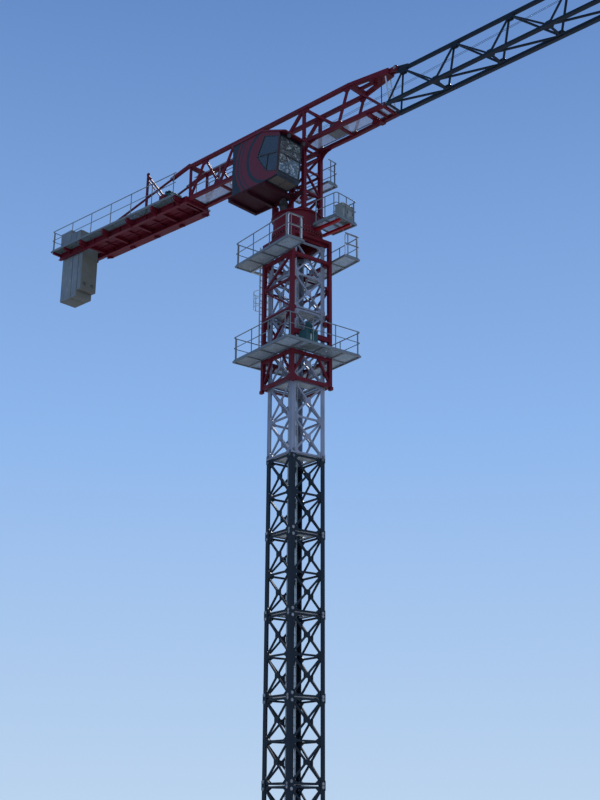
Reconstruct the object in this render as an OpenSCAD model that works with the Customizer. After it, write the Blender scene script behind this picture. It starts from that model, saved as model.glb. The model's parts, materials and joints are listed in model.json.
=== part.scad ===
// Tower crane without a tower head: a square lattice mast with a climbing cage,
// a slewing upper part with a cab, a counter-jib with hung ballast, and the
// first six bays of a triangular jib. Millimetres, full size.
// Origin: centre of the mast's foot. Z is up and the jib points along +X.

/* [Mast] */
// Outer width of the square mast
mast_width = 1600; // [1400:50:2000]
// Height of one mast section
section_height = 3000; // [2700:50:3300]
// Flange width of a mast leg angle
leg_width = 190; // [150:5:220]
// Thickness of a mast leg angle
leg_plate = 24; // [18:1:32]
// Side of a mast bracing tube
mast_brace = 70; // [50:5:90]
// Turn of the mast against the jib in degrees
mast_turn = -9.5; // [-15:0.5:0]

/* [Climbing cage] */
// Distance of a cage leg's centre line from the mast's centre line
cage_half = 940; // [920:5:960]
// Side of a cage leg
cage_leg = 150; // [120:5:160]
// How far the cage reaches down from the mast's top
cage_drop = 6100; // [6000:50:6300]
// Distance of the lower deck's floor below the mast's top
lower_deck_drop = 4800; // [4600:50:5000]
// Distance of the upper deck's floor below the mast's top
upper_deck_drop = 600; // [550:50:800]
// Distance of the decks' outer edge from the mast's centre line
deck_half = 1830; // [1700:10:1900]
// Height of a handrail above its deck
rail_height = 1020; // [950:10:1050]

/* [Slewing unit] */
// Height of the slewing joint above the mast's top
slew_rise = 500; // [450:10:600]
// Radius of the turntable drum
drum_radius = 1060; // [1000:10:1150]
// Side of a slewing tower leg
tower_leg = 160; // [140:5:180]
// Distance of a tower leg from the axis, along the jib
tower_x = 830; // [780:10:880]

/* [Jib] */
// Height of the bottom chords' centre lines above the slewing joint
chord_rise = 3960; // [3900:10:4100]
// Height of the root truss above the bottom chords
truss_height = 1640; // [1500:20:1750]
// Distance of the root truss chords from the jib's centre plane
truss_half = 500; // [460:10:540]
// Distance of the jib's bottom chords from the jib's centre plane
jib_half = 433; // [400:5:480]
// Length of one jib bay
bay = 2500; // [2300:50:2600]
// Side of a jib chord tube
jib_chord = 130; // [110:5:150]
// Side of a jib bracing tube
jib_brace = 70; // [50:5:80]

/* [Counter-jib] */
// Distance of the counter-jib's end from the slewing axis
counter_end = 15930; // [15700:10:16100]
// Upward slope of the counter-jib in degrees
counter_slope = 1.2; // [0:0.1:2]
// Distance of the walkways' outer edge from the centre plane
walk_half = 1100; // [1000:20:1200]
// Depth of the two main beams
counter_beam = 300; // [260:10:340]
// How far the ballast slabs hang below the counter-jib's root
ballast_hang = 2380; // [2150:10:2450]

/* [Cab] */
// Width of the cab across the jib
cab_width = 1300; // [1200:20:1350]
// Thickness of the cab's walls
cab_wall = 50; // [40:5:70]

/* [Hidden] */
section_count = 8;
dark_count = 5;
mast_top = section_count * section_height;
mast_half = mast_width / 2;
cage_foot = mast_top - cage_drop;
lower_deck_z = mast_top - lower_deck_drop;
upper_deck_z = mast_top - upper_deck_drop;
jack_z = lower_deck_z + 700;               // jacking beams
cage_step_1 = lower_deck_z + 1700;         // bracing levels between the decks
cage_step_2 = lower_deck_z + 2950;
slew_z = mast_top + slew_rise;
chord_z = slew_z + chord_rise;
face_in = 45;                              // bracing centre line behind the mast's face
base_height = 300;
truss_top = chord_z + truss_height;
truss_back = -6300;
truss_kink = 3300;
apex = [5400, 0, truss_top + 70];
jib_start = 5057;                          // first pair of bottom nodes
tie_x = 4600;                              // cross bar under the head frame
jib_depth = 1560;
jib_lead = 0.27 * bay;                     // top nodes sit ahead of the bottom ones
jib_end = jib_start + 6 * bay;
root_chord = 160;
ring_gap = 0.5;                            // between the fixed and the turning ring
joint_step = 90;                           // jib sections meet this far past a node
drum_base = slew_z;
drum_top = slew_z + 850;
ring_height = 120;
beam_y = 600;                              // counter-jib beams
deck_z = chord_z + 90;                     // counter-jib floor at its root
ballast_foot = deck_z - ballast_hang;
ballast_top = deck_z + 1300;
tower_step_1 = drum_top + 900;             // bracing levels of the tower
tower_step_2 = drum_top + 1900;
cab_near = -2200;
cab_floor = tower_step_1;
cab_rear = -1650;
hook_x = jib_end - 1757;
hook_z = chord_z - 3860;

dark_blue = [0.20, 0.24, 0.30];
pale_grey = [0.66, 0.68, 0.72];
crane_red = [0.48, 0.09, 0.12];
bright_red = [0.66, 0.10, 0.10];
galvanised = [0.62, 0.65, 0.66];
cab_navy = [0.13, 0.16, 0.21];
glass_tint = [0.45, 0.52, 0.56];
concrete = [0.50, 0.53, 0.58];
rubber_dark = [0.10, 0.10, 0.11];
teal = [0.20, 0.38, 0.38];

// ---------- helpers ----------

// Outline of a bar t thick along v, in two dimensions
module bar_outline(v, t) {
  side = [-v.y, v.x] / norm(v) * t / 2;
  polygon([-side, v - side, v + side, side]);
}

// A bar of w across and h high with its centre line from a to b. One that lies
// in a plane of the frame is drawn in that plane, so its flanks are true to it.
module bar(a, b, w, h) {
  v = b - a;
  if (v.y == 0)
    translate(a + [0, w / 2, 0]) rotate([90, 0, 0]) linear_extrude(w) bar_outline([v.x, v.z], h);
  else if (v.x == 0)
    translate(a - [w / 2, 0, 0]) rotate([90, 0, 90]) linear_extrude(w) bar_outline([v.y, v.z], h);
  else if (v.z == 0)
    translate(a - [0, 0, h / 2]) linear_extrude(h) bar_outline([v.x, v.y], w);
  else
    translate(a)
      rotate([0, -atan2(v.z, norm([v.x, v.y])), atan2(v.y, v.x)])
        translate([0, -w / 2, -h / 2]) cube([norm(v), w, h]);
}

// A round rod from a to b
module rod(a, b, d) {
  v = b - a;
  translate(a)
    rotate([0, atan2(norm([v.x, v.y]), v.z), atan2(v.y, v.x)])
      cylinder(d = d, h = norm(v), $fn = 24);
}

// A box between two opposite corners
module box(a, b) {
  translate(a) cube(b - a);
}

// Both sides of the jib's centre plane
module both_sides() {
  children();
  mirror([0, 1, 0]) children();
}

// The four faces of the mast
module four_faces() {
  for (turn = [0:90:270]) rotate([0, 0, turn]) children();
}

// A handrail along a list of points at floor height: posts, top and knee rail
module handrail(points, height, tube = 40, spacing = 1300) {
  for (i = [0:len(points) - 2]) {
    a = points[i];
    b = points[i + 1];
    parts = max(1, round(norm(b - a) / spacing));
    for (level = [height - tube / 2, height * 0.53])
      bar(a + [0, 0, level], b + [0, 0, level], tube, tube);
    for (k = [(i == 0 ? 0 : 1):parts])
      bar(a + (b - a) * k / parts, a + (b - a) * k / parts + [0, 0, height], tube, tube);
  }
}

// ---------- mast ----------

module leg_angle(z0, z1) {
  translate([0, 0, z0]) linear_extrude(z1 - z0)
    polygon([[mast_half, -mast_half], [mast_half, leg_width - mast_half],
             [mast_half - leg_plate, leg_width - mast_half],
             [mast_half - leg_plate, leg_plate - mast_half],
             [mast_half - leg_width, leg_plate - mast_half],
             [mast_half - leg_width, -mast_half]]);
}

// The joint block that carries the two pins at a leg's end
module joint_block(z0, z1) {
  proud = 14;
  box([mast_half - leg_width - proud, -mast_half - proud, z0],
      [mast_half + proud, -mast_half + leg_width + proud, z1]);
}

module mast_section(z0, z1) {
  block = 170;
  bar_y = -mast_half + face_in;
  reach = mast_half - leg_width / 2;
  low = z0 + 60;
  high = z1 - 60;
  mid = z1 - section_height / 2;
  rotate([0, 0, mast_turn]) four_faces() {
    leg_angle(z0, z1);
    difference() {
      union() {
        joint_block(z0, z0 + block);
        joint_block(z1 - block, z1);
      }
      box([-mast_half, -mast_half + leg_width - 60, z0 - 1],
          [mast_half - leg_width + 60, mast_half, z1 + 1]);
    }
    for (level = [low, mid, high])
      bar([-reach, bar_y, level], [reach, bar_y, level], mast_brace, mast_brace);
    for (side = [-1, 1]) {
      bar([-side * reach, bar_y, low], [side * reach, bar_y, mid], mast_brace * 0.8, mast_brace);
      bar([-side * reach, bar_y, mid], [side * reach, bar_y, high], mast_brace * 0.8, mast_brace);
    }
  }
}

module base_frame() {
  color(dark_blue) rotate([0, 0, mast_turn]) {
    four_faces() {
      box([mast_half - leg_width - 14, -mast_half - 14, 0],
          [mast_half + 14, -mast_half + leg_width + 14, base_height]);
      box([mast_half - leg_width - 120, -mast_half - 120, 0],
          [mast_half + 120, -mast_half + leg_width + 120, 40]);
      box([-mast_half, -mast_half + 5, 0], [mast_half, -mast_half + 185, 180]);
    }
    for (turn = [45, 135]) rotate([0, 0, turn])
      box([-mast_half * 1.2, -90, 0], [mast_half * 1.2, 90, 180]);
  }
}

module mast_section_1() { color(dark_blue) mast_section(base_height, section_height); }
module mast_section_2() { color(dark_blue) mast_section(section_height, 2 * section_height); }
module mast_section_3() { color(dark_blue) mast_section(2 * section_height, 3 * section_height); }
module mast_section_4() { color(dark_blue) mast_section(3 * section_height, 4 * section_height); }
module mast_section_5() { color(dark_blue) mast_section(4 * section_height, 5 * section_height); }
module mast_section_6() { color(pale_grey) mast_section(5 * section_height, 6 * section_height); }
module mast_section_7() { color(pale_grey) mast_section(6 * section_height, 7 * section_height); }
module mast_section_8() { color(pale_grey) mast_section(7 * section_height, 8 * section_height); }

// Place of the ladder between the cage's decks
hatch_x = -1325;
hatch_y = -695;

// Inner face of the mast's horizontal tubes
inner_face = mast_half - face_in - mast_brace / 2;

module mast_ladder() {
  rail_depth = 60;
  rung_gap = 300;
  top = mast_top - 150;
  color(galvanised) rotate([0, 0, mast_turn]) {
    for (y = [140, 560])
      box([-inner_face, y, 420], [-inner_face + rail_depth, y + 30, top]);
    for (z = [600:rung_gap:top - 100])
      box([-inner_face + 15, 155, z], [-inner_face + 45, 575, z + 30]);
    // ladder outside the cage, from the lower deck through the upper deck's hatch
    for (y = [hatch_y - 245, hatch_y + 215])
      box([hatch_x, y, lower_deck_z], [hatch_x + 60, y + 30, upper_deck_z + 900]);
    for (z = [lower_deck_z + 300:rung_gap:upper_deck_z + 850])
      box([hatch_x + 15, hatch_y - 230, z], [hatch_x + 45, hatch_y + 230, z + 30]);
  }
}

module rest_platforms() {
  plate = 40;
  color(galvanised) rotate([0, 0, mast_turn])
    for (k = [1:section_count - 1]) {
      z = k * section_height + 40;
      difference() {
        box([-inner_face, -inner_face, z], [inner_face, inner_face, z + plate]);
        box([-inner_face - 1, 40, z - 1], [-40, inner_face - 60, z + plate + 1]);
        // corners cut round the legs' joint blocks
        four_faces() box([mast_half - leg_width - 20, -mast_half, z - 1],
                         [mast_half, leg_width + 20 - mast_half, z + plate + 1]);
      }
    }
}

// ---------- climbing cage ----------

cage_out = cage_half + cage_leg / 2;
cage_top = mast_top + 250;

module climbing_cage() {
  beam = 130;
  brace = 80;
  levels = [cage_foot + beam / 2, lower_deck_z - 150, upper_deck_z - 150];
  color(crane_red) rotate([0, 0, mast_turn]) {
    for (sx = [-1, 1], sy = [-1, 1])
      box([sx * cage_half - cage_leg / 2, sy * cage_half - cage_leg / 2, cage_foot],
          [sx * cage_half + cage_leg / 2, sy * cage_half + cage_leg / 2, cage_top]);
    four_faces() {
      for (z = levels)
        bar([-cage_half, -cage_half, z], [cage_half, -cage_half, z], beam, beam);
      // top beam, against the slewing support
      bar([-cage_half, -cage_half, cage_top - 65], [cage_half, -cage_half, cage_top - 65], cage_leg, 130);
      // guide pads against the mast's legs
      for (z = [cage_foot + 500, lower_deck_z + 1300, upper_deck_z - 300]) {
        box([mast_half + 0.5, -cage_half + 40, z], [cage_half - 35, -mast_half + 100, z + 160]);
        box([mast_half - 100, -cage_half + 35, z], [cage_half - 40, -mast_half - 0.5, z + 160]);
      }
    }
    // jacking beams across the open front and the back
    for (sx = [-1, 1])
      bar([sx * cage_half, -cage_half, jack_z], [sx * cage_half, cage_half, jack_z], beam, 200);
    // the two sides and the back are braced, the front stays open for new sections
    for (turn = [0, 180, 270]) rotate([0, 0, turn]) {
      steps = [lower_deck_z + 60, cage_step_1, cage_step_2, upper_deck_z - 150];
      for (i = [0:len(steps) - 2]) {
        side = i % 2 == 0 ? 1 : -1;
        bar([-side * cage_half, -cage_half, steps[i]],
            [side * cage_half, -cage_half, steps[i + 1]], brace, brace);
      }
      for (z = [cage_step_1, cage_step_2])
        bar([-cage_half, -cage_half, z], [cage_half, -cage_half, z], brace, brace);
    }
    // knee braces above the foot beam on every face
    four_faces() for (side = [-1, 1])
      bar([side * cage_half, -cage_half, cage_foot + 150],
          [side * cage_half * 0.35, -cage_half, lower_deck_z - 150], brace, brace);
    // guide lugs below the foot beam
    for (sx = [-1, 1], sy = [-1, 1])
      box([sx * (cage_half + 70) - 90, sy * cage_half - 60, cage_foot - 120],
          [sx * (cage_half + 70) + 90, sy * cage_half + 60, cage_foot + 10]);
  }
}

// A deck of grating in a channel frame, given as corner points and a floor height
module deck_strip(a, b, z, depth = 110) {
  edge = 40;
  difference() {
    box([a.x, a.y, z - depth], [b.x, b.y, z]);
    box([a.x + edge, a.y + edge, z - depth - 1], [b.x - edge, b.y - edge, z - 35]);
  }
}

module cage_lower_deck() {
  color(galvanised) rotate([0, 0, mast_turn]) {
    deck_strip([-deck_half, -deck_half], [deck_half, -cage_out], lower_deck_z);
    deck_strip([-deck_half, cage_out], [deck_half, deck_half], lower_deck_z);
    deck_strip([-deck_half, -cage_out], [-cage_out, cage_out], lower_deck_z);
    deck_strip([cage_out, -cage_out], [deck_half, cage_out], lower_deck_z);
  }
}

module cage_upper_deck() {
  color(galvanised) rotate([0, 0, mast_turn]) difference() {
    union() {
      deck_strip([-deck_half, -deck_half], [deck_half, -cage_out], upper_deck_z);
      deck_strip([-deck_half, cage_out], [deck_half, deck_half], upper_deck_z);
      deck_strip([-deck_half, -cage_out], [-cage_out, cage_out], upper_deck_z);
    }
    // hatch over the ladder
    box([hatch_x - 425, hatch_y - 270, upper_deck_z - 200], [hatch_x + 85, hatch_y + 270, upper_deck_z + 1]);
  }
}

rail_line = deck_half - 25;

module cage_lower_railing() {
  color(galvanised) rotate([0, 0, mast_turn]) translate([0, 0, lower_deck_z])
    handrail([[-rail_line, -rail_line, 0], [rail_line, -rail_line, 0],
              [rail_line, rail_line, 0], [-rail_line, rail_line, 0],
              [-rail_line, -rail_line, 0]], rail_height);
}

module cage_upper_railing() {
  color(galvanised) rotate([0, 0, mast_turn]) translate([0, 0, upper_deck_z])
    handrail([[rail_line, -cage_out - 60, 0], [rail_line, -rail_line, 0],
              [-rail_line, -rail_line, 0], [-rail_line, rail_line, 0],
              [rail_line, rail_line, 0], [rail_line, cage_out + 60, 0]], rail_height);
}

module jacking_unit() {
  ram_x = -cage_out - 110;
  color(teal) rotate([0, 0, mast_turn]) {
    // hydraulic ram on the back of the cage
    ram = 1500;
    translate([ram_x, 0, jack_z + 100]) cylinder(d = 220, h = ram, $fn = 32);
    translate([ram_x, 0, jack_z + 100 + ram]) cylinder(d = 120, h = cage_step_2 - jack_z - 100 - ram, $fn = 32);
    box([ram_x - 90, -90, cage_step_2 - 40], [-cage_half - 40, 90, cage_step_2 + 40]);
    box([ram_x - 135, -150, jack_z - 70], [-cage_half - 65, 130, jack_z + 110]);
    // oil tank and pump on the lower deck
    box([cage_out + 90, -700, lower_deck_z], [cage_out + 560, -150, lower_deck_z + 620]);
    translate([cage_out + 320, -420, lower_deck_z + 620]) cylinder(d = 260, h = 330, $fn = 32);
  }
}

// ---------- slewing unit ----------

ring_bore = 720;

module slewing_support() {
  frame = cage_half - cage_leg / 2;
  top = slew_z - ring_gap;
  color(crane_red) {
    difference() {
      union() {
        rotate([0, 0, mast_turn]) box([-frame, -frame, mast_top], [frame, frame, mast_top + 300]);
        translate([0, 0, mast_top + 300]) cylinder(r = drum_radius - 60, h = top - mast_top - 300, $fn = 64);
        translate([0, 0, top - 70]) cylinder(r = drum_radius, h = 70, $fn = 64);
      }
      rotate([0, 0, mast_turn]) box([-600, -600, mast_top - 1], [600, 600, mast_top + 295]);
      translate([0, 0, mast_top + 294]) cylinder(r = ring_bore, h = slew_rise, $fn = 64);
    }
  }
}

module turntable() {
  color(crane_red)
    difference() {
      union() {
        translate([0, 0, drum_base]) cylinder(r = drum_radius, h = ring_height, $fn = 64);
        translate([0, 0, drum_base]) cylinder(r = drum_radius - 60, h = drum_top - drum_base, $fn = 64);
        translate([0, 0, drum_top - 50]) cylinder(r = drum_radius + 20, h = 50, $fn = 64);
      }
      translate([0, 0, drum_base - 1]) cylinder(r = ring_bore, h = drum_top - drum_base + 2, $fn = 64);
    }
}

module slewing_motors() {
  color(rubber_dark)
    for (side = [-1, 1]) translate([0, side * 830, drum_top]) {
      cylinder(d = 300, h = 260, $fn = 32);
      translate([0, 0, 260]) cylinder(d = 220, h = 330, $fn = 32);
      translate([0, 0, 590]) cylinder(d = 180, h = 60, $fn = 32);
    }
}

tower_y = truss_half;
tower_top = chord_z - root_chord / 2;

module slewing_tower() {
  brace = 80;
  steps = [drum_top + 120, tower_step_1, tower_step_2, tower_top - 200];
  knee = 620;
  plate = 24;
  color(crane_red) {
    for (sx = [-1, 1], sy = [-1, 1])
      box([sx * tower_x - tower_leg / 2, sy * tower_y - tower_leg / 2, drum_top],
          [sx * tower_x + tower_leg / 2, sy * tower_y + tower_leg / 2, tower_top]);
    for (i = [0:3]) {
      for (sx = [-1, 1])
        bar([sx * tower_x, -tower_y, steps[i]], [sx * tower_x, tower_y, steps[i]], brace, brace);
      for (sy = [-1, 1])
        bar([-tower_x, sy * tower_y, steps[i]], [tower_x, sy * tower_y, steps[i]], brace, brace);
    }
    for (i = [0:2]) {
      turn = i % 2 == 0 ? 1 : -1;
      for (sx = [-1, 1])
        bar([sx * tower_x, -turn * tower_y, steps[i]], [sx * tower_x, turn * tower_y, steps[i + 1]], brace, brace);
      for (sy = [-1, 1])
        bar([-turn * tower_x, sy * tower_y, steps[i]], [turn * tower_x, sy * tower_y, steps[i + 1]], brace, brace);
    }
    // curved knee plates under the bottom chords
    for (sx = [-1, 1], sy = [-1, 1])
      translate([sx * tower_x, sy * tower_y + plate / 2, 0]) rotate([90, 0, 0])
        linear_extrude(plate) scale([sx, 1]) difference() {
          translate([0, tower_top - knee]) square([knee, knee]);
          translate([knee, tower_top - knee]) circle(r = knee - 80, $fn = 64);
        }
  }
}

// A walkway on the far side of the tower, reached from its ladder
module tower_walkway() {
  z = tower_step_2 - 250;
  y0 = tower_y + tower_leg / 2;
  y1 = y0 + 600;
  x0 = -tower_x - 170;
  x1 = tower_x + 370;
  color(galvanised) {
    deck_strip([x0, y0], [x1, y1], z, 90);
    translate([0, 0, z])
      handrail([[x1 - 20, y0 + 60, 0], [x1 - 20, y1 - 20, 0], [x0 + 20, y1 - 20, 0], [x0 + 20, y0 + 60, 0]], 1050);
  }
}

cabinet_z = slew_z + 200;

module cabinet_platform() {
  z = cabinet_z;
  color(bright_red)
    difference() {
      for (y = [-60, 560])
        box([700, y, drum_base + 10], [2350, y + 120, z - 90]);
      translate([0, 0, drum_base]) cylinder(r = drum_radius, h = ring_height, $fn = 64);
    }
  color(galvanised) {
    deck_strip([1130, -280], [2420, 960], z, 90);
    translate([0, 0, z])
      handrail([[1150, -260, 0], [2400, -260, 0], [2400, 940, 0], [1150, 940, 0]], 1000);
  }
}

module electric_cabinet() {
  z = cabinet_z;
  color([0.46, 0.50, 0.50])
    box([1930, 180, z], [2330, 840, z + 680]);
}

// ---------- cab ----------

cab_roof = cab_floor + 2270;

// Side outline of the cab in the X-Z plane
cab_outline = [
  [cab_rear, cab_floor - 50], [320, cab_floor - 50], [900, cab_floor],
  [940, cab_floor + 140], [1090, cab_floor + 1740], [1030, cab_floor + 1910],
  [90, cab_roof], [cab_rear, cab_roof]];
// Outline of the side window
window_outline = [
  [310, cab_floor + 390], [900, cab_floor + 170], [1030, cab_floor + 1710],
  [220, cab_floor + 2020], [-210, cab_floor + 1200]];

module cab_slice(points, y0, y1) {
  translate([0, y1, 0]) rotate([90, 0, 0]) linear_extrude(y1 - y0) polygon(points);
}

cab_far = cab_near + cab_width;

module cab_shell() {
  color(cab_navy) {
    difference() {
      cab_slice(cab_outline, cab_near, cab_far);
      // room inside
      cab_slice([[cab_rear + cab_wall, cab_floor + 60], [860, cab_floor + 60],
                 [890, cab_floor + 150], [1040, cab_floor + 1730], [60, cab_roof - 60],
                 [cab_rear + cab_wall, cab_roof - 60]],
                cab_near + cab_wall, cab_far - cab_wall);
      // side windows
      cab_slice(window_outline, cab_near - 1, cab_near + cab_wall + 1);
      cab_slice(window_outline, cab_far - cab_wall - 1, cab_far + 1);
      // windscreen
      box([700, cab_near + 60, cab_floor + 190], [1200, cab_far - 60, cab_floor + 1710]);
      // doorway to the tower
      box([-1350, cab_far - cab_wall - 1, cab_floor + 60], [-650, cab_far + 1, cab_floor + 2000]);
    }
    // roof with its visor
    cab_slice([[cab_rear - 60, cab_roof], [90, cab_roof], [1430, cab_roof - 510], [1430, cab_roof - 460],
               [110, cab_roof + 70], [cab_rear - 60, cab_roof + 70]], cab_near - 40, cab_far + 40);
  }
}

module cab_glass() {
  pane = 8;
  color(glass_tint) {
    for (y = [cab_near + 12, cab_far - 12 - pane])
      cab_slice(window_outline, y, y + pane);
    cab_slice([[938, cab_floor + 190], [1082, cab_floor + 1710],
               [1074, cab_floor + 1710], [930, cab_floor + 190]],
              cab_near + 60, cab_far - 60);
  }
}

module cab_seat() {
  mid = (cab_near + cab_far) / 2;
  floor_z = cab_floor + 60;
  color(rubber_dark) {
    translate([-250, mid, floor_z]) cylinder(d = 220, h = 350, $fn = 32);
    box([-520, mid - 260, floor_z + 350], [40, mid + 260, floor_z + 480]);
    box([-560, mid - 250, floor_z + 480], [-440, mid + 250, floor_z + 1150]);
    for (side = [-1, 1])
      box([-420, mid + side * 340 - 80, floor_z], [120, mid + side * 340 + 80, floor_z + 640]);
  }
}

module cab_platform() {
  z = cab_floor - 50;
  back = -tower_y - tower_leg / 2;
  color(crane_red) {
    box([-1900, cab_near, z - 60], [260, back, z]);
    // cross beams out from the tower legs
    for (x = [-1820, -tower_x, 180])
      box([x - 70, cab_near + 20, z - 200], [x + 70, back, z - 60]);
    box([-1890, back - 60, z - 200], [tower_x + tower_leg / 2, back, z - 60]);
  }
}

// ---------- jib ----------

pin_radius = 45;

module root_truss() {
  brace = 90;
  low = [-6240, -4300, -2500, -750, 830, 2720];
  high = [truss_back, -5270, -3400, -1600, 830, truss_kink];
  cheek_in = 60;
  color(crane_red) {
    both_sides() {
      // chords
      bar([truss_back, truss_half, chord_z], [truss_kink - 400, truss_half, chord_z], root_chord, root_chord);
      bar([truss_kink - 420, truss_half, chord_z], [jib_start, jib_half, chord_z], root_chord, root_chord - 4);
      bar([jib_start - 80, jib_half, chord_z], [jib_start + joint_step, jib_half, chord_z], root_chord - 6, root_chord - 8);
      bar([truss_back, truss_half, truss_top], [truss_kink, truss_half, truss_top], root_chord, root_chord);
      // brace from the kink down to the jib's root
      bar([truss_kink - 30, truss_half, truss_top], [jib_start - 60, jib_half, chord_z], 70, 70);
      // head frame out to the apex pin
      bar([truss_kink - 60, truss_half, truss_top], [apex.x - 290, 140, apex.z], 110, 220);
      box([apex.x - 420, cheek_in, apex.z - 100], [apex.x, cheek_in + 60, apex.z + 100]);
      translate([apex.x, cheek_in + 60, apex.z]) rotate([90, 0, 0]) cylinder(r = 130, h = 60, $fn = 48);
      // end post, web and tower posts
      bar([truss_back + 60, truss_half, chord_z], [truss_back + 60, truss_half, truss_top], brace, brace + 10);
      for (i = [1:3]) {
        bar([low[i - 1], truss_half, chord_z], [high[i], truss_half, truss_top], brace, brace);
        bar([high[i], truss_half, truss_top], [low[i], truss_half, chord_z], brace, brace);
      }
      bar([low[3], truss_half, chord_z], [high[4], truss_half, truss_top], 120, 120);
      bar([low[4], truss_half, chord_z], [high[4], truss_half, truss_top], 120, 120);
      bar([high[4], truss_half, truss_top], [low[5], truss_half, chord_z], brace, brace);
      bar([low[5], truss_half, chord_z], [high[5], truss_half, truss_top], brace, brace);
    }
    for (x = [high[0] + 60, high[2], high[4], truss_kink - 20])
      bar([x, -truss_half, truss_top], [x, truss_half, truss_top], 100, 100);
    for (x = [truss_back + 60, low[1], low[2], low[4], low[5], jib_start - 60])
      bar([x, -truss_half + (x > truss_kink ? 70 : 0), chord_z], [x, truss_half - (x > truss_kink ? 70 : 0), chord_z], 100, 100);
    // head plate with its two slots, its lug and the tie to the cross bar below
    difference() {
      translate([0, 0, truss_top - 60]) linear_extrude(120)
        polygon([[truss_kink - 60, -truss_half - 80], [apex.x - 300, -200],
                 [apex.x - 300, 200], [truss_kink - 60, truss_half + 80]]);
      both_sides() translate([0, 0, truss_top - 61]) linear_extrude(122)
        polygon([[truss_kink + 220, 60], [truss_kink + 850, 60], [truss_kink + 850, 240], [truss_kink + 220, 340]]);
    }
    box([tie_x - 370, -55, truss_top - 330], [tie_x - 230, 55, truss_top - 50]);
    bar([tie_x, -440, chord_z], [tie_x, 440, chord_z], 72, 72);
    box([tie_x - 15, -15, chord_z], [tie_x + 15, 15, truss_top - 50]);
    // apex pin
    translate([apex.x, cheek_in + 80, apex.z]) rotate([90, 0, 0])
      cylinder(r = pin_radius, h = 2 * (cheek_in + 80), $fn = 48);
  }
}

jib_top = chord_z + jib_depth;

// Bays of the triangular jib, from the joint past one pair of bottom nodes
// to the joint past another
module jib_bays(first, last) {
  x0 = jib_start + first * bay;
  x1 = jib_start + last * bay;
  start = x0 + joint_step;
  end = x1 + joint_step;
  top_start = first == 0 ? x0 + jib_lead - 90 : start;
  rail = 40;
  both_sides() {
    bar([start, jib_half, chord_z], [end, jib_half, chord_z], jib_chord, jib_chord);
    // runway rail for the trolley's wheels
    box([start, jib_half + jib_chord / 2 - 5, chord_z - jib_chord / 2],
        [end, jib_half + jib_chord / 2 + rail, chord_z - jib_chord / 2 + 25]);
  }
  bar([top_start, 0, jib_top], [end, 0, jib_top], jib_chord, jib_chord);
  for (i = [first:last - 1]) {
    x = jib_start + i * bay;
    foot = i == first ? x + 2 * joint_step : x;
    top = [x + jib_lead, 0, jib_top];
    both_sides() {
      bar(top, [foot, jib_half, chord_z], jib_brace, jib_brace);
      bar(top, [x + bay, jib_half, chord_z], jib_brace, jib_brace);
    }
    bar([foot, -jib_half, chord_z], [foot, jib_half, chord_z], jib_brace, jib_brace);
    bar([foot, -jib_half, chord_z], [x + bay, jib_half, chord_z], jib_brace, jib_brace - 4);
  }
  bar([x1, -jib_half, chord_z], [x1, jib_half, chord_z], jib_brace, jib_brace);
}

module jib_section_1() {
  color(dark_blue) {
    jib_bays(0, 4);
    // head plate on the apex pin
    difference() {
      union() {
        bar([apex.x, 0, apex.z], [jib_start + jib_lead + 260, 0, jib_top + 20], 100, 200);
        translate([apex.x, 50, apex.z]) rotate([90, 0, 0]) cylinder(r = 120, h = 100, $fn = 48);
      }
      translate([apex.x, 51, apex.z]) rotate([90, 0, 0]) cylinder(r = pin_radius + 0.3, h = 102, $fn = 48);
    }
  }
}

module jib_section_2() {
  color(dark_blue) jib_bays(4, 6);
}

module jib_nose() {
  start = jib_end + joint_step;
  tip = jib_end + 1500;
  color(dark_blue) {
    both_sides() {
      bar([start, jib_half, chord_z], [start + 200, jib_half, chord_z], jib_chord, jib_chord);
      bar([start + 150, jib_half, chord_z], [tip, 180, chord_z], jib_chord, jib_chord - 4);
      bar([start + 100, 0, jib_top], [tip - 100, 180, chord_z], jib_brace, jib_brace);
      bar([start + 100, 0, jib_top], [start + 120, jib_half, chord_z], jib_brace, jib_brace);
    }
    bar([start, 0, jib_top], [start + 180, 0, jib_top], jib_chord, jib_chord);
    bar([start + 120, -jib_half, chord_z], [start + 120, jib_half, chord_z], jib_brace, jib_brace + 6);
    bar([tip - 40, -240, chord_z], [tip - 40, 240, chord_z], 110, 140);
  }
}

// A grooved rope wheel round the Y direction
module sheave(p, r, width) {
  translate(p) rotate([90, 0, 0]) translate([0, 0, -width / 2])
    rotate_extrude($fn = 48)
      polygon([[0, 0], [r, 0], [r, width * 0.2], [r - 25, width * 0.5],
               [r, width * 0.8], [r, width], [0, width]]);
}

rope = 14;
groove = 12.8;                             // a rope's centre below a wheel's rim
root_wheel = 180;
wheel_drop = 270;                          // wheels' axles below the bottom chords
trolley_wheel = 130;
rope_z = chord_z - wheel_drop - root_wheel + groove;
trolley_wheel_x = 300;
trolley_wheel_z = rope_z - trolley_wheel + groove;
hook_wheel = trolley_wheel_x - trolley_wheel + 2 * groove;
drum_x = -8000;                            // hoist winch's axle
drum_d = 560;
axle_z = deck_z + 480;
rope_far = [17000, 0, jib_top - 263];
// the drum's axle after the counter-jib's slope, and the point where the rope leaves it
drum_axle = [truss_back + (drum_x - truss_back) * cos(counter_slope) + (axle_z - deck_z) * sin(counter_slope),
             deck_z - (drum_x - truss_back) * sin(counter_slope) + (axle_z - deck_z) * cos(counter_slope)];
rope_near = [drum_axle.x, 0, drum_axle.y - (drum_d + rope) / 2 - 0.6];

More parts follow.
